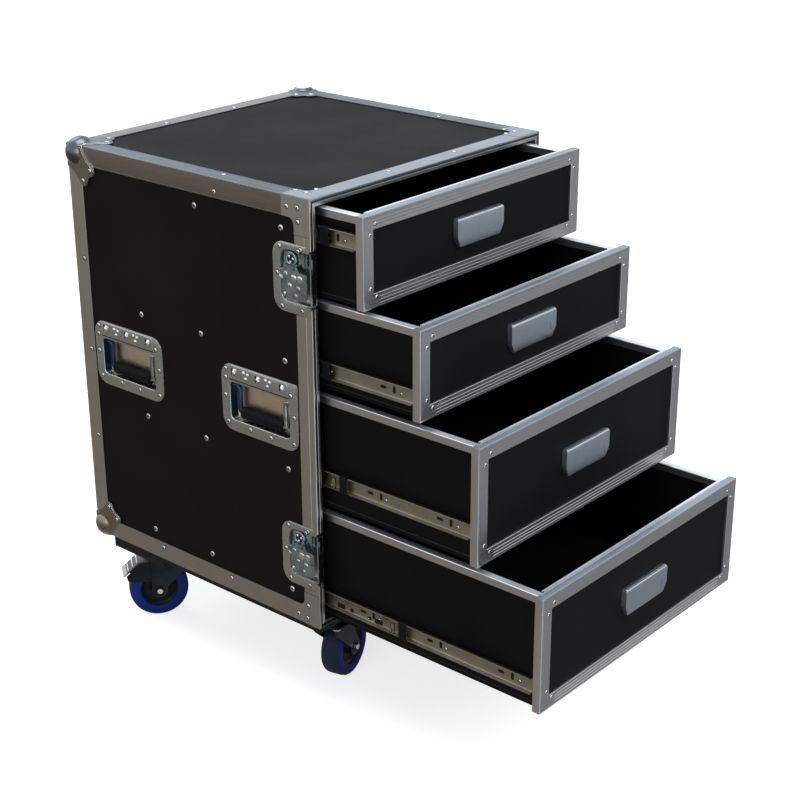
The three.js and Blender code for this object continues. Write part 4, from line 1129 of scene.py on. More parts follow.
@dataclass
class RecessedHandle:
    """A pressed dish in the side with a sprung bail and its rubber grip.

    Attributes:
        place: Front or rear.
        side: -1 for left and 1 for right.
        y: Its middle along the depth.
        z: Its middle's height.
        half_width: Half the dish's width.
        half_height: Half the dish's height.
        corner: The radius of the dish's corners.
        square_corner: The radius of the front one's corner at the rim.
        pan_half: Half the pan's width.
        pan_low: The pan's reach below the middle.
        pan_high: Its reach above the middle.
        pan_depth: How deep the pan is.
        wall: The pan's thickness.
        axis_depth: How deep the bail's axis lies.
        axis_rise: How far it lies above the middle.
        rod: The rod's radius.
        grip: The grip's radii, outwards and upwards.
    """

    place: str
    side: int
    y: float
    z: float = CASE_HEIGHT / 2
    half_width: float = 79.25
    half_height: float = 53.75
    corner: float = 22.0
    square_corner: float = 5.0
    pan_half: float = 61.5
    pan_low: float = 35.2
    pan_high: float = 24.8
    pan_depth: float = 15.0
    wall: float = 1.2
    axis_depth: float = 7.3
    axis_rise: float = 18.8
    rod: float = 3.75
    grip: Point2 = (6.9, 9.8)

    def mouth(self, grown: float, corner: float = 7.0) -> list[Point2]:
        """Outlines the pan in y and z, grown by a margin."""
        heights = (self.z - self.pan_low - grown, self.z + self.pan_high + grown)
        return rounded(about(self.y, self.pan_half + grown), heights, corner + grown)

    def plate(self, shrunk: float) -> list[Point2]:
        """Outlines the dish's plate, shrunk by a margin."""
        last = self.square_corner if self.place == "front" else self.corner
        return rounded(
            (self.y - self.half_width + shrunk, self.y + self.half_width - shrunk),
            (self.z - self.half_height + shrunk, self.z + self.half_height - shrunk),
            [radius - shrunk for radius in (self.corner, self.corner, self.corner, last)])

    def build(self) -> None:
        """Makes the dish, the hinge along its top, its rivets and the bail."""
        self.name = f"{self.place}_{word(self.side)}_handle"
        self._dish()
        self._hinge()
        rivets = Shape()
        for u, v in (
            (70, 30), (71.5, 1), (67.5, -41), (21, -43), (-22, -44), (-69.5, -41.5), (-71, 1), (-65, 34),
            (69, 44),
        ):
            rivets.dome((HALF_WIDTH, self.y + u, self.z + v), Axis.X, 1)
        rivets.mirrored(self.side).heads(self.name + "_rivets", "case", "zinc")
        self._bail()

    def _dish(self) -> None:
        """Presses the dish."""
        back, mouth, plate = 1.5, self.mouth, self.plate
        rows = [
            (mouth(-7, 7.5), self.pan_depth), (mouth(-4.2), self.pan_depth), (mouth(-1.6), 13.6),
            (mouth(-0.6), 11), (mouth(0), 1.2), (mouth(0.25), 0.45), (mouth(0.7), 0.08), (mouth(1.4), 0),
            (plate(1.2), 0), (plate(0.3), 0.35), (plate(0), back), (mouth(self.wall), back), (mouth(0.8), 12),
            (mouth(-2), 16.2),
        ]
        dish = Shape()
        dish.loft([[Vector((HALF_WIDTH - depth, u, v)) for u, v in loop] for loop, depth in rows])
        name = self.name + "_dish"
        made = dish.mirrored(self.side).piece(
            name, "case", [ZINC, PAN_REFLECTION_ZINC, SHADE_BLUE_ZINC], "zinc", [name], smooth=38)
        floor, wall = ((HALF_WIDTH - depth) * METRE for depth in (12, 2))
        # The pan's floor takes a tan painted reflection.
        shade(made, lambda face: abs(face.center.x) < floor and face.center.x * face.normal.x > 0)
        # Its inner wall that faces the front takes a dark blue painted shade.
        shade(made, lambda face: abs(face.center.x) < wall and face.normal.y < -0.6, 2)

    def _hinge(self) -> None:
        """Raises the hinge's band over its fold, with three knuckles and two groups of dimples."""
        rise, fold = self.z + 42.6, HALF_WIDTH + 0.25
        band = Shape()
        self._bump(band, self.y, 59, 0.8, 9.5, rise)
        # A dark strip under the band paints the shadow of its fold.
        band.block((HALF_WIDTH - 0.6, fold), about(self.y, 62), (rise - 14.2, rise - 12.8), 1)
        for step in (-1, 0, 1):
            middle = self.y + step * 49.8
            # Each knuckle is bright, a painted highlight, and a dark strip beside it paints its shadow.
            self._bump(band, middle, 3.6, 5, 6, rise, 2)
            gap = (middle + 3.8, middle + 6.4)
            band.block((HALF_WIDTH, HALF_WIDTH + 1.3), gap, (rise - 5.5, rise + 5), 1)
        # The dimples are bright, painted highlights.
        for u in (25.6, -20):
            for du, dv in ((4.6, 3.4), (-3.6, 2.2), (0.8, -5)):
                self._bump(band, self.y + u + du, 3.1, 3.2, 3, rise + dv, 2)
        band.mirrored(self.side).piece(
            self.name + "_hinge", "case", [ZINC, PAINTED_SHADE_STEEL, RIVET_STEEL_AND_HIGHLIGHT], "zinc", smooth=50)

    def _bump(
        self, shape: Shape, y: float, half: float, proud: float, tall: float, z: float, paint: int = 0,
    ) -> None:
        """Raises a round-ended band on the dish's plate.

        Args:
            shape: The shape that it joins.
            y: Its middle along the depth.
            half: Half its length.
            proud: How far it stands out.
            tall: Half its height.
            z: Its middle's height.
            paint: The finish of its faces.
        """
        sunk, over, loops = HALF_WIDTH - 0.5, HALF_WIDTH + 0.02, []
        ends = [(-half, 0.05), (-half + 0.8, 0.62), (-half + 2.4, 0.92), (-half + 4, 1)]
        for u, share in ends + [(-u, s) for u, s in reversed(ends)]:
            loop = [Vector((sunk, y + u, z - tall * share)), Vector((sunk, y + u, z + tall * share))]
            for rise, out in arc(0, 0, 1, 0, 180, 10):
                loop.append(Vector((over + proud * share * out, y + u, z + tall * share * rise)))
            loops.append(loop)
        shape.loft(loops, paint)

    def _bail(self) -> None:
        """Bends the rod through the dish's ends and slips the ribbed grip on it."""
        body = f"{self.place}_{word(self.side)}_bail"
        x = HALF_WIDTH - self.axis_depth
        top, low = self.z + self.axis_rise, self.z + self.axis_rise - 41
        half, end, bend = 47.5, self.pan_half + self.wall + 2.4, 6.0
        points = [
            (-end, top), *arc(-half - bend, top - bend, bend, 90, 0, 6),
            *arc(-half + bend, low + bend, bend, 180, 270, 6)]
        points += [(-u, v) for u, v in reversed(points)]
        rod = Shape()
        rod.tube([Vector((x, self.y + u, v)) for u, v in points], self.rod, Vector((1, 0, 0)), 18)
        made = rod.mirrored(self.side).piece(
            self.name + "_rod", body, [BLUE_ZINC, SHADE_BLUE_ZINC], "zinc", [self.name + "_bail"], smooth=60)
        leg = (self.y + half - bend - CENTRE_Y) * METRE
        # The rear leg takes a dark blue painted reflection.
        shade(made, lambda face: face.center.y > leg)
        ridge, groove, first = 3.6, 0.955, -41
        ends = [(42.2, 0.9), (42.6, 0.72)]
        stations = [(-u, share) for u, share in reversed(ends)]
        for i in range(int(-2 * first / ridge) + 1):
            u = first + i * ridge
            stations += [
                (u, 1.0), (u + ridge * 0.55, 1.0), (u + ridge * 0.65, groove), (u + ridge * 0.9, groove)]
        grip = Shape()
        grip.loft([
            [Vector((u, self.y + station, v)) for u, v in circle(
                x, low, self.grip[0] * share, 24, self.grip[1] * share)]
            for station, share in stations + ends])
        grip.mirrored(self.side).piece(self.name + "_grip", body, [BLACK_RUBBER], "zinc", smooth=50)


@dataclass
class TwistLatch:
    """A recessed latch: a dish open to the front, a turning boss, a wing and a hook.

    Attributes:
        level: Upper or lower.
        side: -1 for left and 1 for right.
        z: Its middle's height.
        width: How far back its plate reaches.
        front: How far the rim covers its plate's ends.
        boss_y: The boss's middle along the depth.
        boss_rise: How far the boss stands above the middle.
        hinge_rise: How far the wing's pins lie above the middle.
        ear_y: How far the wing's ears stand from the boss's middle.
    """

    level: str
    side: int
    z: float
    width: float = 74.5
    front: float = 9.5
    boss_y: float = 39.7
    boss_rise: float = 28.0
    hinge_rise: float = 19.0
    ear_y: float = 8.5

    @staticmethod
    def mouth(z: float, front: float, grown: float) -> list[Point2]:
        """Outlines the pan in y and z, open to the front."""
        low, high = LATCH_PAN
        corners = (0.01, 14 + grown, 14 + grown, 0.01)
        return rounded((front, 60 + grown), (z - low - grown, z + high + grown), corners, 7)

    def plate(self, shrunk: float) -> list[Point2]:
        """Outlines the plate round the pan, shrunk by a margin."""
        heights = (self.z - LATCH_HALF + shrunk, self.z + LATCH_HALF - shrunk)
        return rounded((-4, self.width - shrunk), heights, (0.01, 20, 20, 0.01), 7)

    def build(self) -> None:
        """Makes the dish, the boss and the wing, and dresses the hook."""
        place = f"{self.level}_{word(self.side)}_latch"
        self._dish(place)
        rivets = Shape()
        for y, z in ((60.4, 43.7), (66.2, 3.8), (58.2, -44), (19.8, 45.2), (24.6, 41.6), (19.3, -44.3)):
            rivets.dome((HALF_WIDTH, y, self.z + z), Axis.X, 1, 3.2, 0.9 if y < 50 else RIVET_RISE)
        rivets.mirrored(self.side).heads(place + "_rivets", "case", "zinc")
        self._boss(place)
        self._wing(place)
        keep(place + "_hook", BLUE_ZINC, 0.3)

    def _dish(self, place: str) -> None:
        """Presses the dish and closes its front with a narrow lip that leaves the hook's way free."""
        def mouths(*rows: Point2) -> list[tuple[list[Point2], float]]:
            """Gives the pan's outlines for pairs of growth and depth."""
            return [(self.mouth(self.z, -4, grown), depth) for grown, depth in rows]

        loops = mouths((-5, 10), (-3, 10), (-1.7, 9), (-1, 7), (-0.9, 1.4), (-0.4, 0.3), (0.5, 0))
        loops += [(self.plate(1.0), 0), (self.plate(0.25), 0.35), (self.plate(0), 1.5)]
        loops += mouths((0, 1.5), (-0.4, 8), (-2, 11))
        dish, front, seats = Shape(), Shape(), Shape()
        dish.loft([[Vector((HALF_WIDTH - depth, u, v)) for u, v in loop] for loop, depth in loops])
        beside = (200, 300)
        front.block(beside, (-20, FIT), about(self.z, 80))
        for low, high in ((-60, -LATCH_PAN[0]), (LATCH_PAN[1], 60)):
            seats.block(beside, (-20, self.front), (self.z + low, self.z + high))
        dish.combined(front).combined(seats)
        # Black blocks behind the front lips paint the shade inside the pan.
        pan_shade_blocks = Shape()
        for low, high, deep, gap in ((-34.6, 12, 1.8, 1.9), (12, 34, 1.2, 5.4), (34, 41.1, 1.8, 1.9)):
            heights = (self.z + low, self.z + high)
            dish.block((HALF_WIDTH - deep, HALF_WIDTH - 0.1), (FIT, 2.2), heights)
            pan_shade_blocks.block((HALF_WIDTH - 11.2, HALF_WIDTH - gap), (FIT + 0.1, 2), heights)
        dish.mirrored(self.side).piece(
            place + "_dish_shell", "case", [ZINC], "zinc", [place + "_dish"], smooth=38)
        pan_shade_blocks.mirrored(self.side).piece(place + "_front_shade_blocks", "case", [BLACK_RUBBER], "zinc")
        hollow = Shape()
        hollow.turned(
            [(8, -0.2), (7.8, 0.5), (7.2, 0.8), (6.6, 0.5), (6.2, 0.1), (0.5, 0.1), (0.4, -0.2)],
            (HALF_WIDTH, 54.5, self.z + 4.4), Axis.X, 28)
        hollow.mirrored(self.side).piece(place + "_finger_hollow", "case", [BLUE_ZINC], "zinc", smooth=50)

    def _boss(self, place: str) -> None:
        """Turns the boss with its screwdriver slot and adds the wing's ears."""
        y, z, face = self.boss_y, self.z + self.boss_rise, HALF_WIDTH - 0.5
        boss, slot = Shape(), Shape()
        boss.turned(
            [(5, -9.2), (5, -3.2), (10.5, -3.2), (10.5, -0.7), (9.8, 0), (7.6, 0), (7.2, -0.5), (2, -0.5)],
            (face, y, z), Axis.X, 32)
        slot.block((face - 1.2, face + 1), about(y, 6.5), about(z, 1))
        boss.combined(slot)
        for end in (-1, 1):
            ear = about(y + end * self.ear_y, 1.5)
            boss.block((HALF_WIDTH - 3.9, HALF_WIDTH + 3.7), ear, about(self.z + self.hinge_rise, 2.5))
        # A dark blue disc in the middle paints its shade.
        boss.turned([(6.9, -1.1), (6.9, -0.42), (2, -0.42)], (face, y, z), Axis.X, 32, 1)
        # Three small bright domes round it are painted highlights.
        dot, reach = [(2.1, -0.6), (1.9, 0.2), (1.2, 0.9), (0.3, 1.1)], 4.6
        for turn in (0.9, 2.9, 4.9):
            boss.turned(dot, (face, y + reach * math.cos(turn), z + reach * math.sin(turn)), Axis.X, 14, 2)
        boss.mirrored(self.side).piece(
            place + "_boss", place + "_turn", [BLUE_ZINC, SHADE_BLUE_ZINC, RIVET_STEEL_AND_HIGHLIGHT], "zinc",
            [place + "_barrel"], bevel=0.25)

    def _wing(self, place: str) -> None:
        """Presses the wing, with a raised rib round its face and dents in it."""
        axis, low, steel, room = self.z + self.hinge_rise, HALF_WIDTH + 1.2, 1.2, (HALF_WIDTH, HALF_WIDTH + 5)
        face = low + steel - 0.1
        wing, tool = Shape(), Shape()
        wing.plate(Axis.X, rounded((6, 53), (axis - 48, axis + 1), 9, 6), low, low + steel)
        for end in (-1, 1):
            tool.block(room, about(self.boss_y + end * self.ear_y, 1.8), about(axis, 5))
        tool.bar(Axis.X, [(2, axis - 8), (23, axis - 6.5), (29, axis + 3), (2, axis + 3)], *room)
        wing.combined(tool)
        rib = rounded((12, 47), (axis - 42, axis - 9), 6, 6)
        wing.plate(Axis.X, rib, face, low + steel + 0.3, [rounded((15, 44), (axis - 39, axis - 12), 4, 6)])
        # The dents with paint 1 are bright, painted highlights.
        for y, z, size, paint in (
            (32, 2.2, 5.6, 1), (19.5, 2.8, 5.6, 1), (50, -23, 2.4, 1), (28, -23, 3.4, 0), (40, -10, 4.2, 0),
            (24, -12, 4.6, 0), (47, 6, 4.4, 0),
        ):
            dent = [(size, -0.4), (size, 0.1), (size * 0.8, 0.8), (size * 0.5, 1.35), (size * 0.1, 1.55)]
            wing.turned(dent, (face, y, self.z + z), Axis.X, 20, paint)
        wing.mirrored(self.side).piece(
            place + "_wing_plate", place + "_wing", [BLUE_ZINC, RIVET_STEEL_AND_HIGHLIGHT], "zinc", [place + "_wing"],
            bevel=0.35)


@dataclass
class Drawer:
    """A drawer with its middle slide members.

    Attributes:
        number: 1 at the top to 4 at the bottom.
        units: Its height in rack units.
        floor: Its underside above the cabinet's.
        rail_rise: Its slides' height above its underside.
        rail_out: How far the middle members stand out of the cabinet.
        box_out: How far the box stands out of those.
        front_half: Half the front's width.
        flange: The width of the front's frame.
        frame_thick: The frame's thickness.
        frame_depth: How far its edge reaches back.
        board_front: Where the front board begins.
        board_back: Where it ends.
        box_back: Where the box ends.
        wall: The walls' thickness.
        cap: How far below the top the caps reach.
        cap_thick: The caps' thickness.
        cap_drop: How far the walls' caps stand below the front's top.
        lip_deep: How far back the lip behind the frame reaches.
        steel: The thickness of the inner slide member.
    """

    number: int
    units: int
    floor: float
    rail_rise: float
    rail_out: float
    box_out: float
    front_half: float = 250.0
    flange: float = 21.0
    frame_thick: float = 3.5
    frame_depth: float = 13.0
    board_front: float = 3.8
    board_back: float = 13.3
    box_back: float = 463.3
    wall: float = 9.5
    cap: float = 14.7
    cap_thick: float = 1.2
    cap_drop: float = 3.0
    lip_deep: float = 5.4
    steel: float = 1.2

    @property
    def height(self) -> float:
        """The front's height."""
        return self.units * RACK_UNIT - 0.8

    def _piece(
        self, shape: Shape, ending: str, finishes: Sequence[Finish], slot: str, node: str = "",
        bevel: float = 0.0, smooth: float = 40.0,
    ) -> bpy.types.Object:
        """Sets a shape where the drawer stands and finishes it as a piece on the box.

        Args:
            shape: The shape, measured from the front's lower edge.
            ending: The end of the piece's name.
            finishes: Its finishes.
            slot: The record's material slot.
            node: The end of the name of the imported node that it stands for.
            bevel: Width of the rounding of its sharp edges.
            smooth: Edges that turn by less than this are shaded smooth.

        Returns:
            The new object.
        """
        y = CLOSED_SETBACK - self.rail_out - self.box_out
        replaces = [self.name + node] if node else []
        return shape.moved(Matrix.Translation((0, y, self.floor))).piece(
            self.name + ending, self.name, finishes, slot, replaces, bevel, smooth)

    def build(self) -> None:
        """Makes the drawer and its middle slide members."""
        self.name = f"drawer_{self.number}"
        self._box()
        self._caps()
        board = Shape()
        board.block(
            about(0, self.front_half - 1.8), (self.board_front, self.board_back), (1.8, self.height - 1.8))
        self._piece(board, "_front_board", [DRAWER_FRONT], "drawer_board", bevel=0.3)
        self._frame()
        self._pull()
        for name, side in SIDES.items():
            self._inner_slide(name, side)
            self._middle_slide(name, side)

    def _box(self) -> None:
        """Builds the walls and the floor."""
        back, inner, wall_top = self.box_back, BOX_HALF - self.wall, self.height - self.cap_drop - SKIN
        box, floor, seam = Shape(), Shape(), Shape()
        for side in SIDES.values():
            box.block((side * BOX_HALF, side * inner), (self.board_back, back), (0.0, wall_top))
            outside = (side * (BOX_HALF + 0.15), side * (BOX_HALF - 1))
            seam.block(outside, (self.board_back + 0.5, back - 1), (6.2, 7.2))
        box.block(about(0, inner), (back - self.wall, back), (0, wall_top))
        behind = (self.board_back + FIT, self.board_back + self.lip_deep - self.cap_thick)
        box.block(about(0, inner), behind, (0, self.height - SKIN))
        floor.block(about(0, inner), (self.board_back, back - self.wall), (0.4, 7))
        self._piece(box, "_walls", [DRAWER_BOARD], "drawer_board", "_box", 0.3)
        self._piece(floor, "_floor", [DRAWER_BOARD], "drawer_board", bevel=0.3)
        self._piece(seam, "_seams", [CUT_EDGE], "drawer_board")

    def _caps(self) -> None:
        """Folds the aluminium caps over the walls' tops, and a lip behind the frame."""
        low, top = self.height - self.cap, self.height - FIT - self.cap_drop
        thick, fold = self.cap_thick, 0.8
        a, b = BOX_HALF + thick, BOX_HALF - self.wall - thick
        section = [
            (a, low), (a, top - fold), (a - fold, top), (b + fold, top), (b, top - fold), (b, low),
            (b + thick, low), (b + thick, top - thick), (a - thick, top - thick), (a - thick, low)]
        caps = Shape()
        for side in SIDES.values():
            caps.bar(Axis.Y, [(side * u, v) for u, v in section], self.board_back + FIT, self.box_back)
        back, inner = self.box_back, self.box_back - self.wall - thick
        rear = [
            (back, low), (back, top), (inner, top), (inner, low), (inner + thick, low),
            (inner + thick, top - thick), (back - 0.2, top - thick), (back - 0.2, low)]
        caps.bar(Axis.X, rear, b, -b)
        first, last, rise = self.board_back + FIT, self.board_back + self.lip_deep, self.height - FIT
        lip = [
            (first, rise - thick), (first, rise), (last - fold, rise), (last, rise - fold), (last, low),
            (last - thick, low), (last - thick, rise - thick)]
        caps.bar(Axis.X, lip, -b, b)
        # The caps' upward faces take a near-white painted highlight.
        shade(self._piece(caps, "_caps", [FRAME_ALUMINIUM, PAINTED_TOP_HIGHLIGHT], "frame_aluminium", smooth=30), looks_up)

    def frame_profile(self, dip: float) -> list[Point2]:
        """Gives the frame's section of inset and depth: a rounded edge and three grooves of a given depth."""
        points: list[Point2] = [(2.6, self.frame_depth), (0, self.frame_depth)]
        edge, groove, bank = 0.9, 1.7, 0.5
        points += [(edge + edge * u, edge + edge * v) for u, v in arc(0, 0, 1, 180, 270, 3)]
        points += [(1.7, 0), (1.9, 0.5), (2.5, 0.5), (2.7, 0)]
        for start in (5.0, 9.8, 14.6):
            points += [(start, 0), (start + bank, dip), (start + groove - bank, dip), (start + groove, 0)]
        width, thick = self.flange, self.frame_thick
        return [*points, (width - 0.5, 0), (width, 0.5), (width, thick), (2.8, thick)]

    def _frame(self) -> None:
        """Mitres the frame round the front, grooved most along the bottom, and rivets its inner corners."""
        half, top, faint, deep = self.front_half, self.height, 0.12, 0.85
        loops = []
        for x, z, dip in (
            (-half, 0, faint), (-half + 34, 0, faint), (-half + 42, 0, deep), (half - 42, 0, deep),
            (half - 34, 0, faint), (half, 0, faint), (half, top, faint), (-half, top, faint),
        ):
            along = abs(x) < half
            to_x, to_z = (0 if along else (1 if x < 0 else -1)), (1 if z == 0 else -1)
            profile = self.frame_profile(dip)
            loops.append([Vector((x + to_x * inset, y, z + to_z * inset)) for inset, y in profile])
        border, ridge, rivets = Shape(), Shape(), Shape()
        border.loft(loops, closed=True)
        made = self._piece(
            border, "_border", [FRAME_ALUMINIUM, FRAME_TOP_REFLECTION], "frame_aluminium", "_frame", smooth=30)
        level = (LIFT + self.floor + top - 1) * METRE
        # The top faces take a bluish painted sky reflection.
        shade(made, lambda face: looks_up(face) and face.center.z > level)
        crest = [(10.6, top - 0.2), (11.2, top + 0.25), (12.6, top + 0.25), (13, top - 0.2)]
        ridge.bar(Axis.X, crest, -half + 11, half - 11)
        self._piece(ridge, "_border_ridge", [FRAME_ALUMINIUM], "frame_aluminium")
        inner = half - self.flange
        for side in SIDES.values():
            for x, z in (
                (inner + 6.4, self.flange + 8.4), (inner - 6, self.flange - 5.4),
                (inner + 6.4, top - self.flange - 6.4), (inner - 5, top - self.flange + 7.6),
            ):
                rivets.dome((side * x, 0.2, z), Axis.Y, -1, 3, 1.2)
        self._piece(rivets, "_border_rivets", RIVETS, "frame_aluminium", smooth=60)

    def _pull(self) -> None:
        """Presses the cup pull, with the crease near its right end."""
        half, lip, tall, deep, thick, bend = 53.5, 45, 43.0, 8.5, 1.6, 4.5
        middle, seat = self.height / 2, self.board_front - FIT
        (low, top), face = about(middle, tall / 2), seat - deep
        section = [(seat, low), (seat, top), (face + 5, top), *arc(face + bend, top - bend, bend, 90, 180, 6)]
        section += [(face, middle), (face + 0.15, low + 12), (face + 0.7, low + 5), (face + thick, low)]
        cup, front, room, crease = Shape(), Shape(), Shape(), Shape()
        cup.bar(Axis.X, section, -half, half)
        front.bar(Axis.Y, self._pull_front(half, lip, top, low, 4), face - PAST, seat + PAST)
        inside = self._pull_front(half - thick, lip - thick, top - thick, low, 3.2)
        room.bar(Axis.Y, inside, face + thick, seat + PAST)
        crease.bar(
            Axis.Y, [(half - 16.5, middle + 1), (half - 14.5, middle + 2), (half - 8.6, low + 4)], face - 1,
            face + 0.55)
        cup.combined(front, "INTERSECT").combined(room).combined(crease)
        self._piece(cup, "_cup_pull", [SATIN_STEEL], "satin_steel", "_pull", 0.6, 30)

    def _pull_front(self, half: float, lip: float, top: float, low: float, cut: float) -> list[Point2]:
        """Outlines the pull from the front, with cut upper corners and lower ones drawn in to the lip."""
        right = [(lip, low - 2), (half, low + 15), (half, top - cut), (half - cut * 0.7, top + 1)]
        return [*[(-u, v) for u, v in reversed(right)], *right]

    def _inner_slide(self, name: str, side: int) -> None:
        """Makes the slide member on the box, with its slots and screws."""
        start, z, web = self.board_back + 2.2, self.rail_rise - 2, BOX_HALF
        rail, tool, slot_shade, screws = Shape(), Shape(), Shape(), Shape()
        rail.bar(Axis.Y, channel_outline(side, web, web + 8, 12.6, self.steel, z), start + 5, self.box_back)
        for first in (0, 128, 256):
            for y, long, tall in ((37, 5, 11), (54, 11, 4.6)):
                spot = start + first + y
                tool.bar(Axis.X, rounded((spot, spot + long), about(z, tall / 2), 2.2, 5), web - 1, web + 3)
                # Black plates in the slots paint the shade seen through them.
                slot_shade.block((web + 0.05, web + 0.25), (spot - 1, spot + long + 1), about(z, tall / 2 + 1))
        rail.combined(tool.mirrored(side))
        ending = f"_{name}_inner_"
        shade_top(self._piece(rail, ending + "slide", SLIDES, "slide_steel", smooth=50))
        self._piece(slot_shade.mirrored(side), ending + "slots", [BLACK_PLASTIC], "slide_steel")
        for y in (27, 158, 284, 412):
            screws.dome((side * (web + self.steel), start + y, z - 2.5), Axis.X, side, 2.4, 1)
        self._piece(screws, ending + "screws", RIVETS, "slide_steel", smooth=60)

    def _middle_slide(self, name: str, side: int) -> None:
        """Makes the middle member with its slots, its rib line and its front bumper."""
        web, z = SLIDE_INNER - 1.6, self.rail_rise - 2.2
        place = Matrix.Translation((0, 21.6 - self.rail_out, self.floor))
        body, title = f"{self.name}_rails", f"{self.name}_{name}"
        rail, tool, slot_shade, bumper, studs = Shape(), Shape(), Shape(), Shape(), Shape()
        rail.bar(Axis.Y, channel_outline(side, web, web - 8.6, 18.6, 1, z), 17, 450)
        for y, long, tall in (
            (25, 6.4, 16), (48, 13, 6), (70, 3.6, 3.6), (105, 4.4, 4.4), (122, 13, 6), (210, 6.4, 16),
            (236, 13, 6), (300, 13, 6),
        ):
            slot = rounded((y, y + long), about(z, tall / 2), min(long, tall) / 2 - 0.05, 5)
            tool.bar(Axis.X, slot, web - 4, web + 3)
            # Black plates in the slots paint the shade seen through them.
            slot_shade.block((web - 1.5, web - 1.1), (y - 1, y + long + 1), about(z, tall / 2 + 1))
        tool.block((web - 0.35, web + 3), (19, 452), (z - 8.6, z - 7.8))
        rail.combined(tool.mirrored(side))
        shade_top(rail.moved(place).piece(
            title + "_middle_slide", body, SLIDES, "slide_steel", [title + "_rail"], smooth=50))
        slot_shade.mirrored(side).moved(place).piece(title + "_middle_slots", body, [BLACK_PLASTIC], "slide_steel")
        bumper.bar(Axis.Y, channel_outline(side, web - 1.6, web - 8.4, 13.8, 0.9, z), 3, 17)
        bumper.moved(place).piece(title + "_bumper", body, [BLACK_RUBBER], "slide_steel")
        for y, rise in ((31, -4.5), (73.5, -1)):
            studs.dome((side * (web - 0.4), y, z + rise), Axis.X, side, 1.5, 0.5)
        studs.moved(place).heads(title + "_middle_studs", body, "slide_steel")


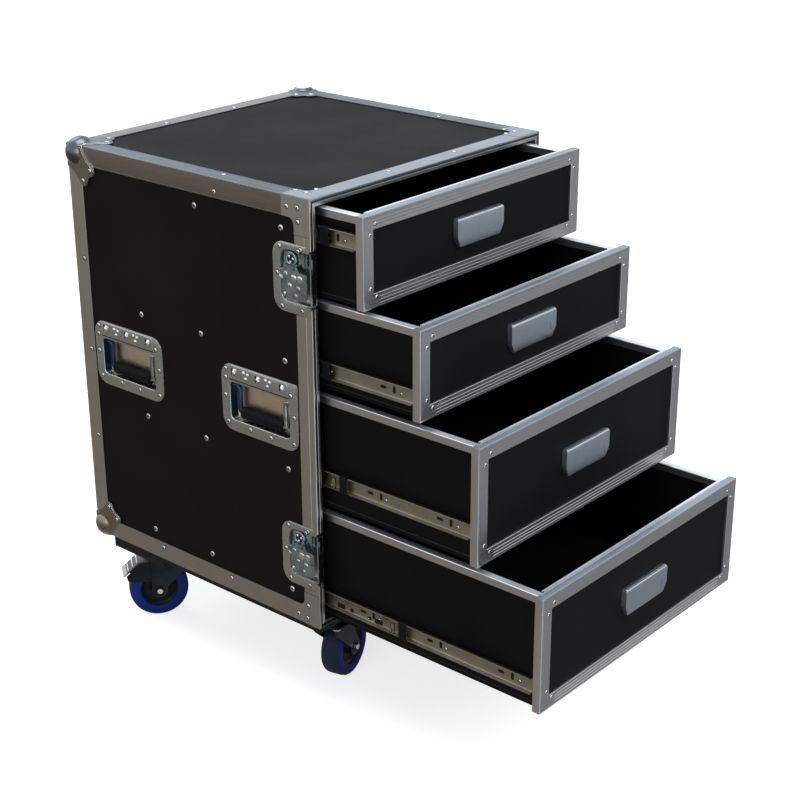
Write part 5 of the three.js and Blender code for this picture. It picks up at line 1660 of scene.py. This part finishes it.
@dataclass
class Caster:
    """A swivel caster with a blue tyre; the rear ones have a brake pedal.

    Attributes:
        name: Its place.
        side: -1 for left and 1 for right.
        rear: It stands at the rear.
        swivel: How far it is turned, in degrees.
        drop: How far the axle lies below the base.
        trail: How far the axle lies from the pivot.
        inner: Where the fork's cheeks begin, from the wheel's middle.
        outer: Where they end.
    """

    name: str
    side: int
    rear: bool
    swivel: float
    drop: float = 78.0
    trail: float = 35.0
    inner: float = 18.3
    outer: float = 21.3

    def build(self) -> None:
        """Makes the caster."""
        inset, front, rear = 80.0, 50.0, 410.0
        self.pivot = Matrix.Translation(
            (self.side * (HALF_WIDTH - inset), rear if self.rear else front, -BOARD_UNDER))
        self.turned = self.pivot @ Matrix.Rotation(math.radians(self.swivel), 4, "Z")
        self._plate()
        self._fork()
        self._wheel()
        if self.rear:
            self._pedal()

    def _plate(self) -> None:
        """Makes the top plate with its bolts, the fixed race and the kingpin."""
        plate, bolts = Shape(), Shape()
        plate.bar(Axis.Z, rounded(about(0, 40), about(0, 47.5), 8), -3, 0)
        race = [(20, -2), (24, -2.8), (24, -6.5), (22.5, -8), (8, -8), (8, -15.4), (6.8, -16), (2, -16)]
        plate.turned(race, (0, 0, 0), Axis.Z, 36)
        # The plate is the dark zinc of painted shade under the case.
        plate.moved(self.pivot).piece(self.name + "_caster_plate", "case", [SHADED_ZINC], "zinc", bevel=0.4)
        for x in (-31, 31):
            for y in (-38, 38):
                bolts.bar(Axis.Z, circle(x, y, 6.5, 6), -7.5, -3)
        bolts.moved(self.pivot).piece(self.name + "_plate_bolts", "case", RIVETS, "zinc", bevel=0.5)

    def _fork(self) -> None:
        """Presses the fork, with its race cup, cheeks and axle bolt."""
        fork, cup, bolt = Shape(), Shape(), Shape()
        body, low, ear = self.name + "_caster", -self.drop, 50.0 if self.rear else 28.0
        hole = 8.3
        fork.plate(
            Axis.Z, rounded((-25, 29), about(0, self.outer), 3, 4), -19.3, -16.3, [circle(0, 0, hole, 24)])
        cheek = [
            (-24, -17), (ear - 4, -17), (ear, -20), (ear, -27), (ear - 2, -30),
            *arc(self.trail, low, 14, 20, -200, 16), (-21, -34), (-24, -29)]
        race = [(hole, -8.4), (26.5, -8.4), (29, -9.6), (29, -13.5), (25, -16.4), (hole, -16.4)]
        cup.turned(race, (0, 0, 0), Axis.Z, 40, hollow=True)
        bolt.bar(Axis.Y, circle(self.trail, low, 6, 20), -self.outer, self.outer)
        for end in (-1, 1):
            fork.bar(Axis.Y, cheek, end * self.inner, end * self.outer)
            # The washers are the dark steel of painted shade round the nuts.
            bolt.bar(Axis.Y, circle(self.trail, low, 8.4, 24), end * self.outer, end * (self.outer + 1), 1)
            bolt.bar(Axis.Y, circle(self.trail, low, 5.2, 6), end * self.outer, end * (self.outer + 4.6))
        # The fork and its cup are the dark zinc of painted shade.
        fork.moved(self.turned).piece(
            self.name + "_fork_legs", body, [SHADED_ZINC], "zinc", [self.name + "_caster_fork"], bevel=1.0)
        cup.moved(self.turned).piece(self.name + "_swivel_cup", body, [SHADED_ZINC], "zinc", smooth=30)
        bolt.moved(self.turned).piece(self.name + "_axle_bolt", body, RIVETS, "zinc", bevel=0.5)

    def _wheel(self) -> None:
        """Turns the tyre and the core."""
        def both_sides(half: Sequence[Point2]) -> list[Point2]:
            """Mirrors half a section."""
            return [(r, -h) for r, h in half] + [(r, h) for r, h in reversed(half)]

        centre, body = (self.trail, 0, -self.drop), self.name + "_wheel"
        tyre, core = Shape(), Shape()
        tread = both_sides([
            (31, 13), (31.8, 15.4), (33, 15.9), (46.2, 15.9), (47.6, 15.2), (49, 13.2), (49.8, 9),
            (49.95, 4)])
        tyre.turned(tread, centre, Axis.Y, 72, hollow=True)
        made = tyre.moved(self.turned).piece(
            self.name + "_tyre", body, [TYRE_BLUE, SHADED_TREAD_BLUE], "tyre", [self.name + "_caster_wheel"],
            smooth=50)
        turn = math.radians(self.swivel)
        axle = Vector((-math.sin(turn), math.cos(turn), 0))
        # The tread takes the darker blue of painted shade.
        shade(made, lambda face: abs(face.normal.dot(axle)) < 0.75)
        hub = both_sides([(6.4, 18), (13, 18), (13.6, 13), (16, 9), (26, 9), (28.5, 11.5), (31.4, 12.6)])
        core.turned(hub, centre, Axis.Y, 60, hollow=True)
        core.moved(self.turned).piece(self.name + "_wheel_core", body, [BLACK_PLASTIC], "tyre", smooth=35)

    def _pedal(self) -> None:
        """Bends the brake pedal with its ridges, its toe bar and its cheeks."""
        x, z, half = 44.0, -22.5, 17.8
        knee, toe, fall = x + 23.5, x + 50.0, -24.0
        line = [
            (x, z - 1.5), (x + 22, z - 3), (x + 47, z + fall), (toe, z + fall), (knee, z), (x, z + 1.5)]
        pedal = Shape()
        pedal.bar(Axis.Y, line, -half, half)
        # The ridges are bright, painted highlights.
        for share in (0.08, 0.36, 0.66):
            ridge = circle(knee + (toe - knee) * share, z + fall * share, 1.7, 12)
            pedal.bar(Axis.Y, ridge, -15, 15, 2)
        start = 0.76
        (u, v), (end_u, end_v) = (knee + (toe - knee) * start, z + fall * start), (toe, z + fall)
        bar = [(u - 1, v - 1), (end_u - 1, end_v - 1), (end_u + 0.6, end_v + 0.7), (u + 0.6, v + 0.7)]
        pedal.bar(Axis.Y, bar, -half - 0.1, half + 0.1, 3)
        pedal.bar(Axis.Y, circle(x, z, 3.5, 20), -18, 18)
        cheek = [
            (x - 5, z - 3), (x + 21, z - 3.5), (x + 45, z - 24.5), (x + 43, z - 34), (x + 34, z - 38),
            (x - 2, z - 38)]
        # The cheeks take the dark zinc of painted shade.
        for end in (-1, 1):
            pedal.bar(Axis.Y, cheek, end * 16.6, end * 17.7, 1)
        pedal.moved(self.turned).piece(
            self.name + "_brake_tread", self.name + "_brake", [DARKENED_ZINC, SHADED_ZINC, RIVET_STEEL_AND_HIGHLIGHT, ZINC],
            "zinc", [self.name + "_brake_pedal"], bevel=0.4)


def main() -> None:
    """Builds the studio and every sub-assembly in order."""
    logging.basicConfig(level=logging.INFO, format="%(message)s")
    Studio().build()
    drawers, level = [], WALL
    for number, units, gap, rise, rail_out, box_out in (
        (4, 4, 1.2, 36, 181.7, 225.3), (3, 4, 9, 49.5, 70.6, 225.3), (2, 3, 9.5, 33.5, 42.5, 151.5),
        (1, 3, 4.5, 94.5, 44, 50),
    ):
        drawer = Drawer(number, units, level + gap, rise, rail_out, box_out)
        level = drawer.floor + drawer.height
        drawers.append(drawer)
    Cabinet([drawer.floor + drawer.rail_rise for drawer in drawers]).build()
    CornerFittings().build()
    for side in SIDES.values():
        for place, y in HANDLE_PLACES.items():
            RecessedHandle(place, side, y).build()
        for level_name, z in LATCH_LEVELS.items():
            TwistLatch(level_name, side, z).build()
    for drawer in drawers:
        drawer.build()
    for name, side, rear, swivel in (
        ("front_left", -1, False, 14), ("front_right", 1, False, 166), ("rear_left", -1, True, 144.5),
        ("rear_right", 1, True, 104),
    ):
        Caster(name, side, rear, swivel).build()


if __name__ == "__main__":
    main()
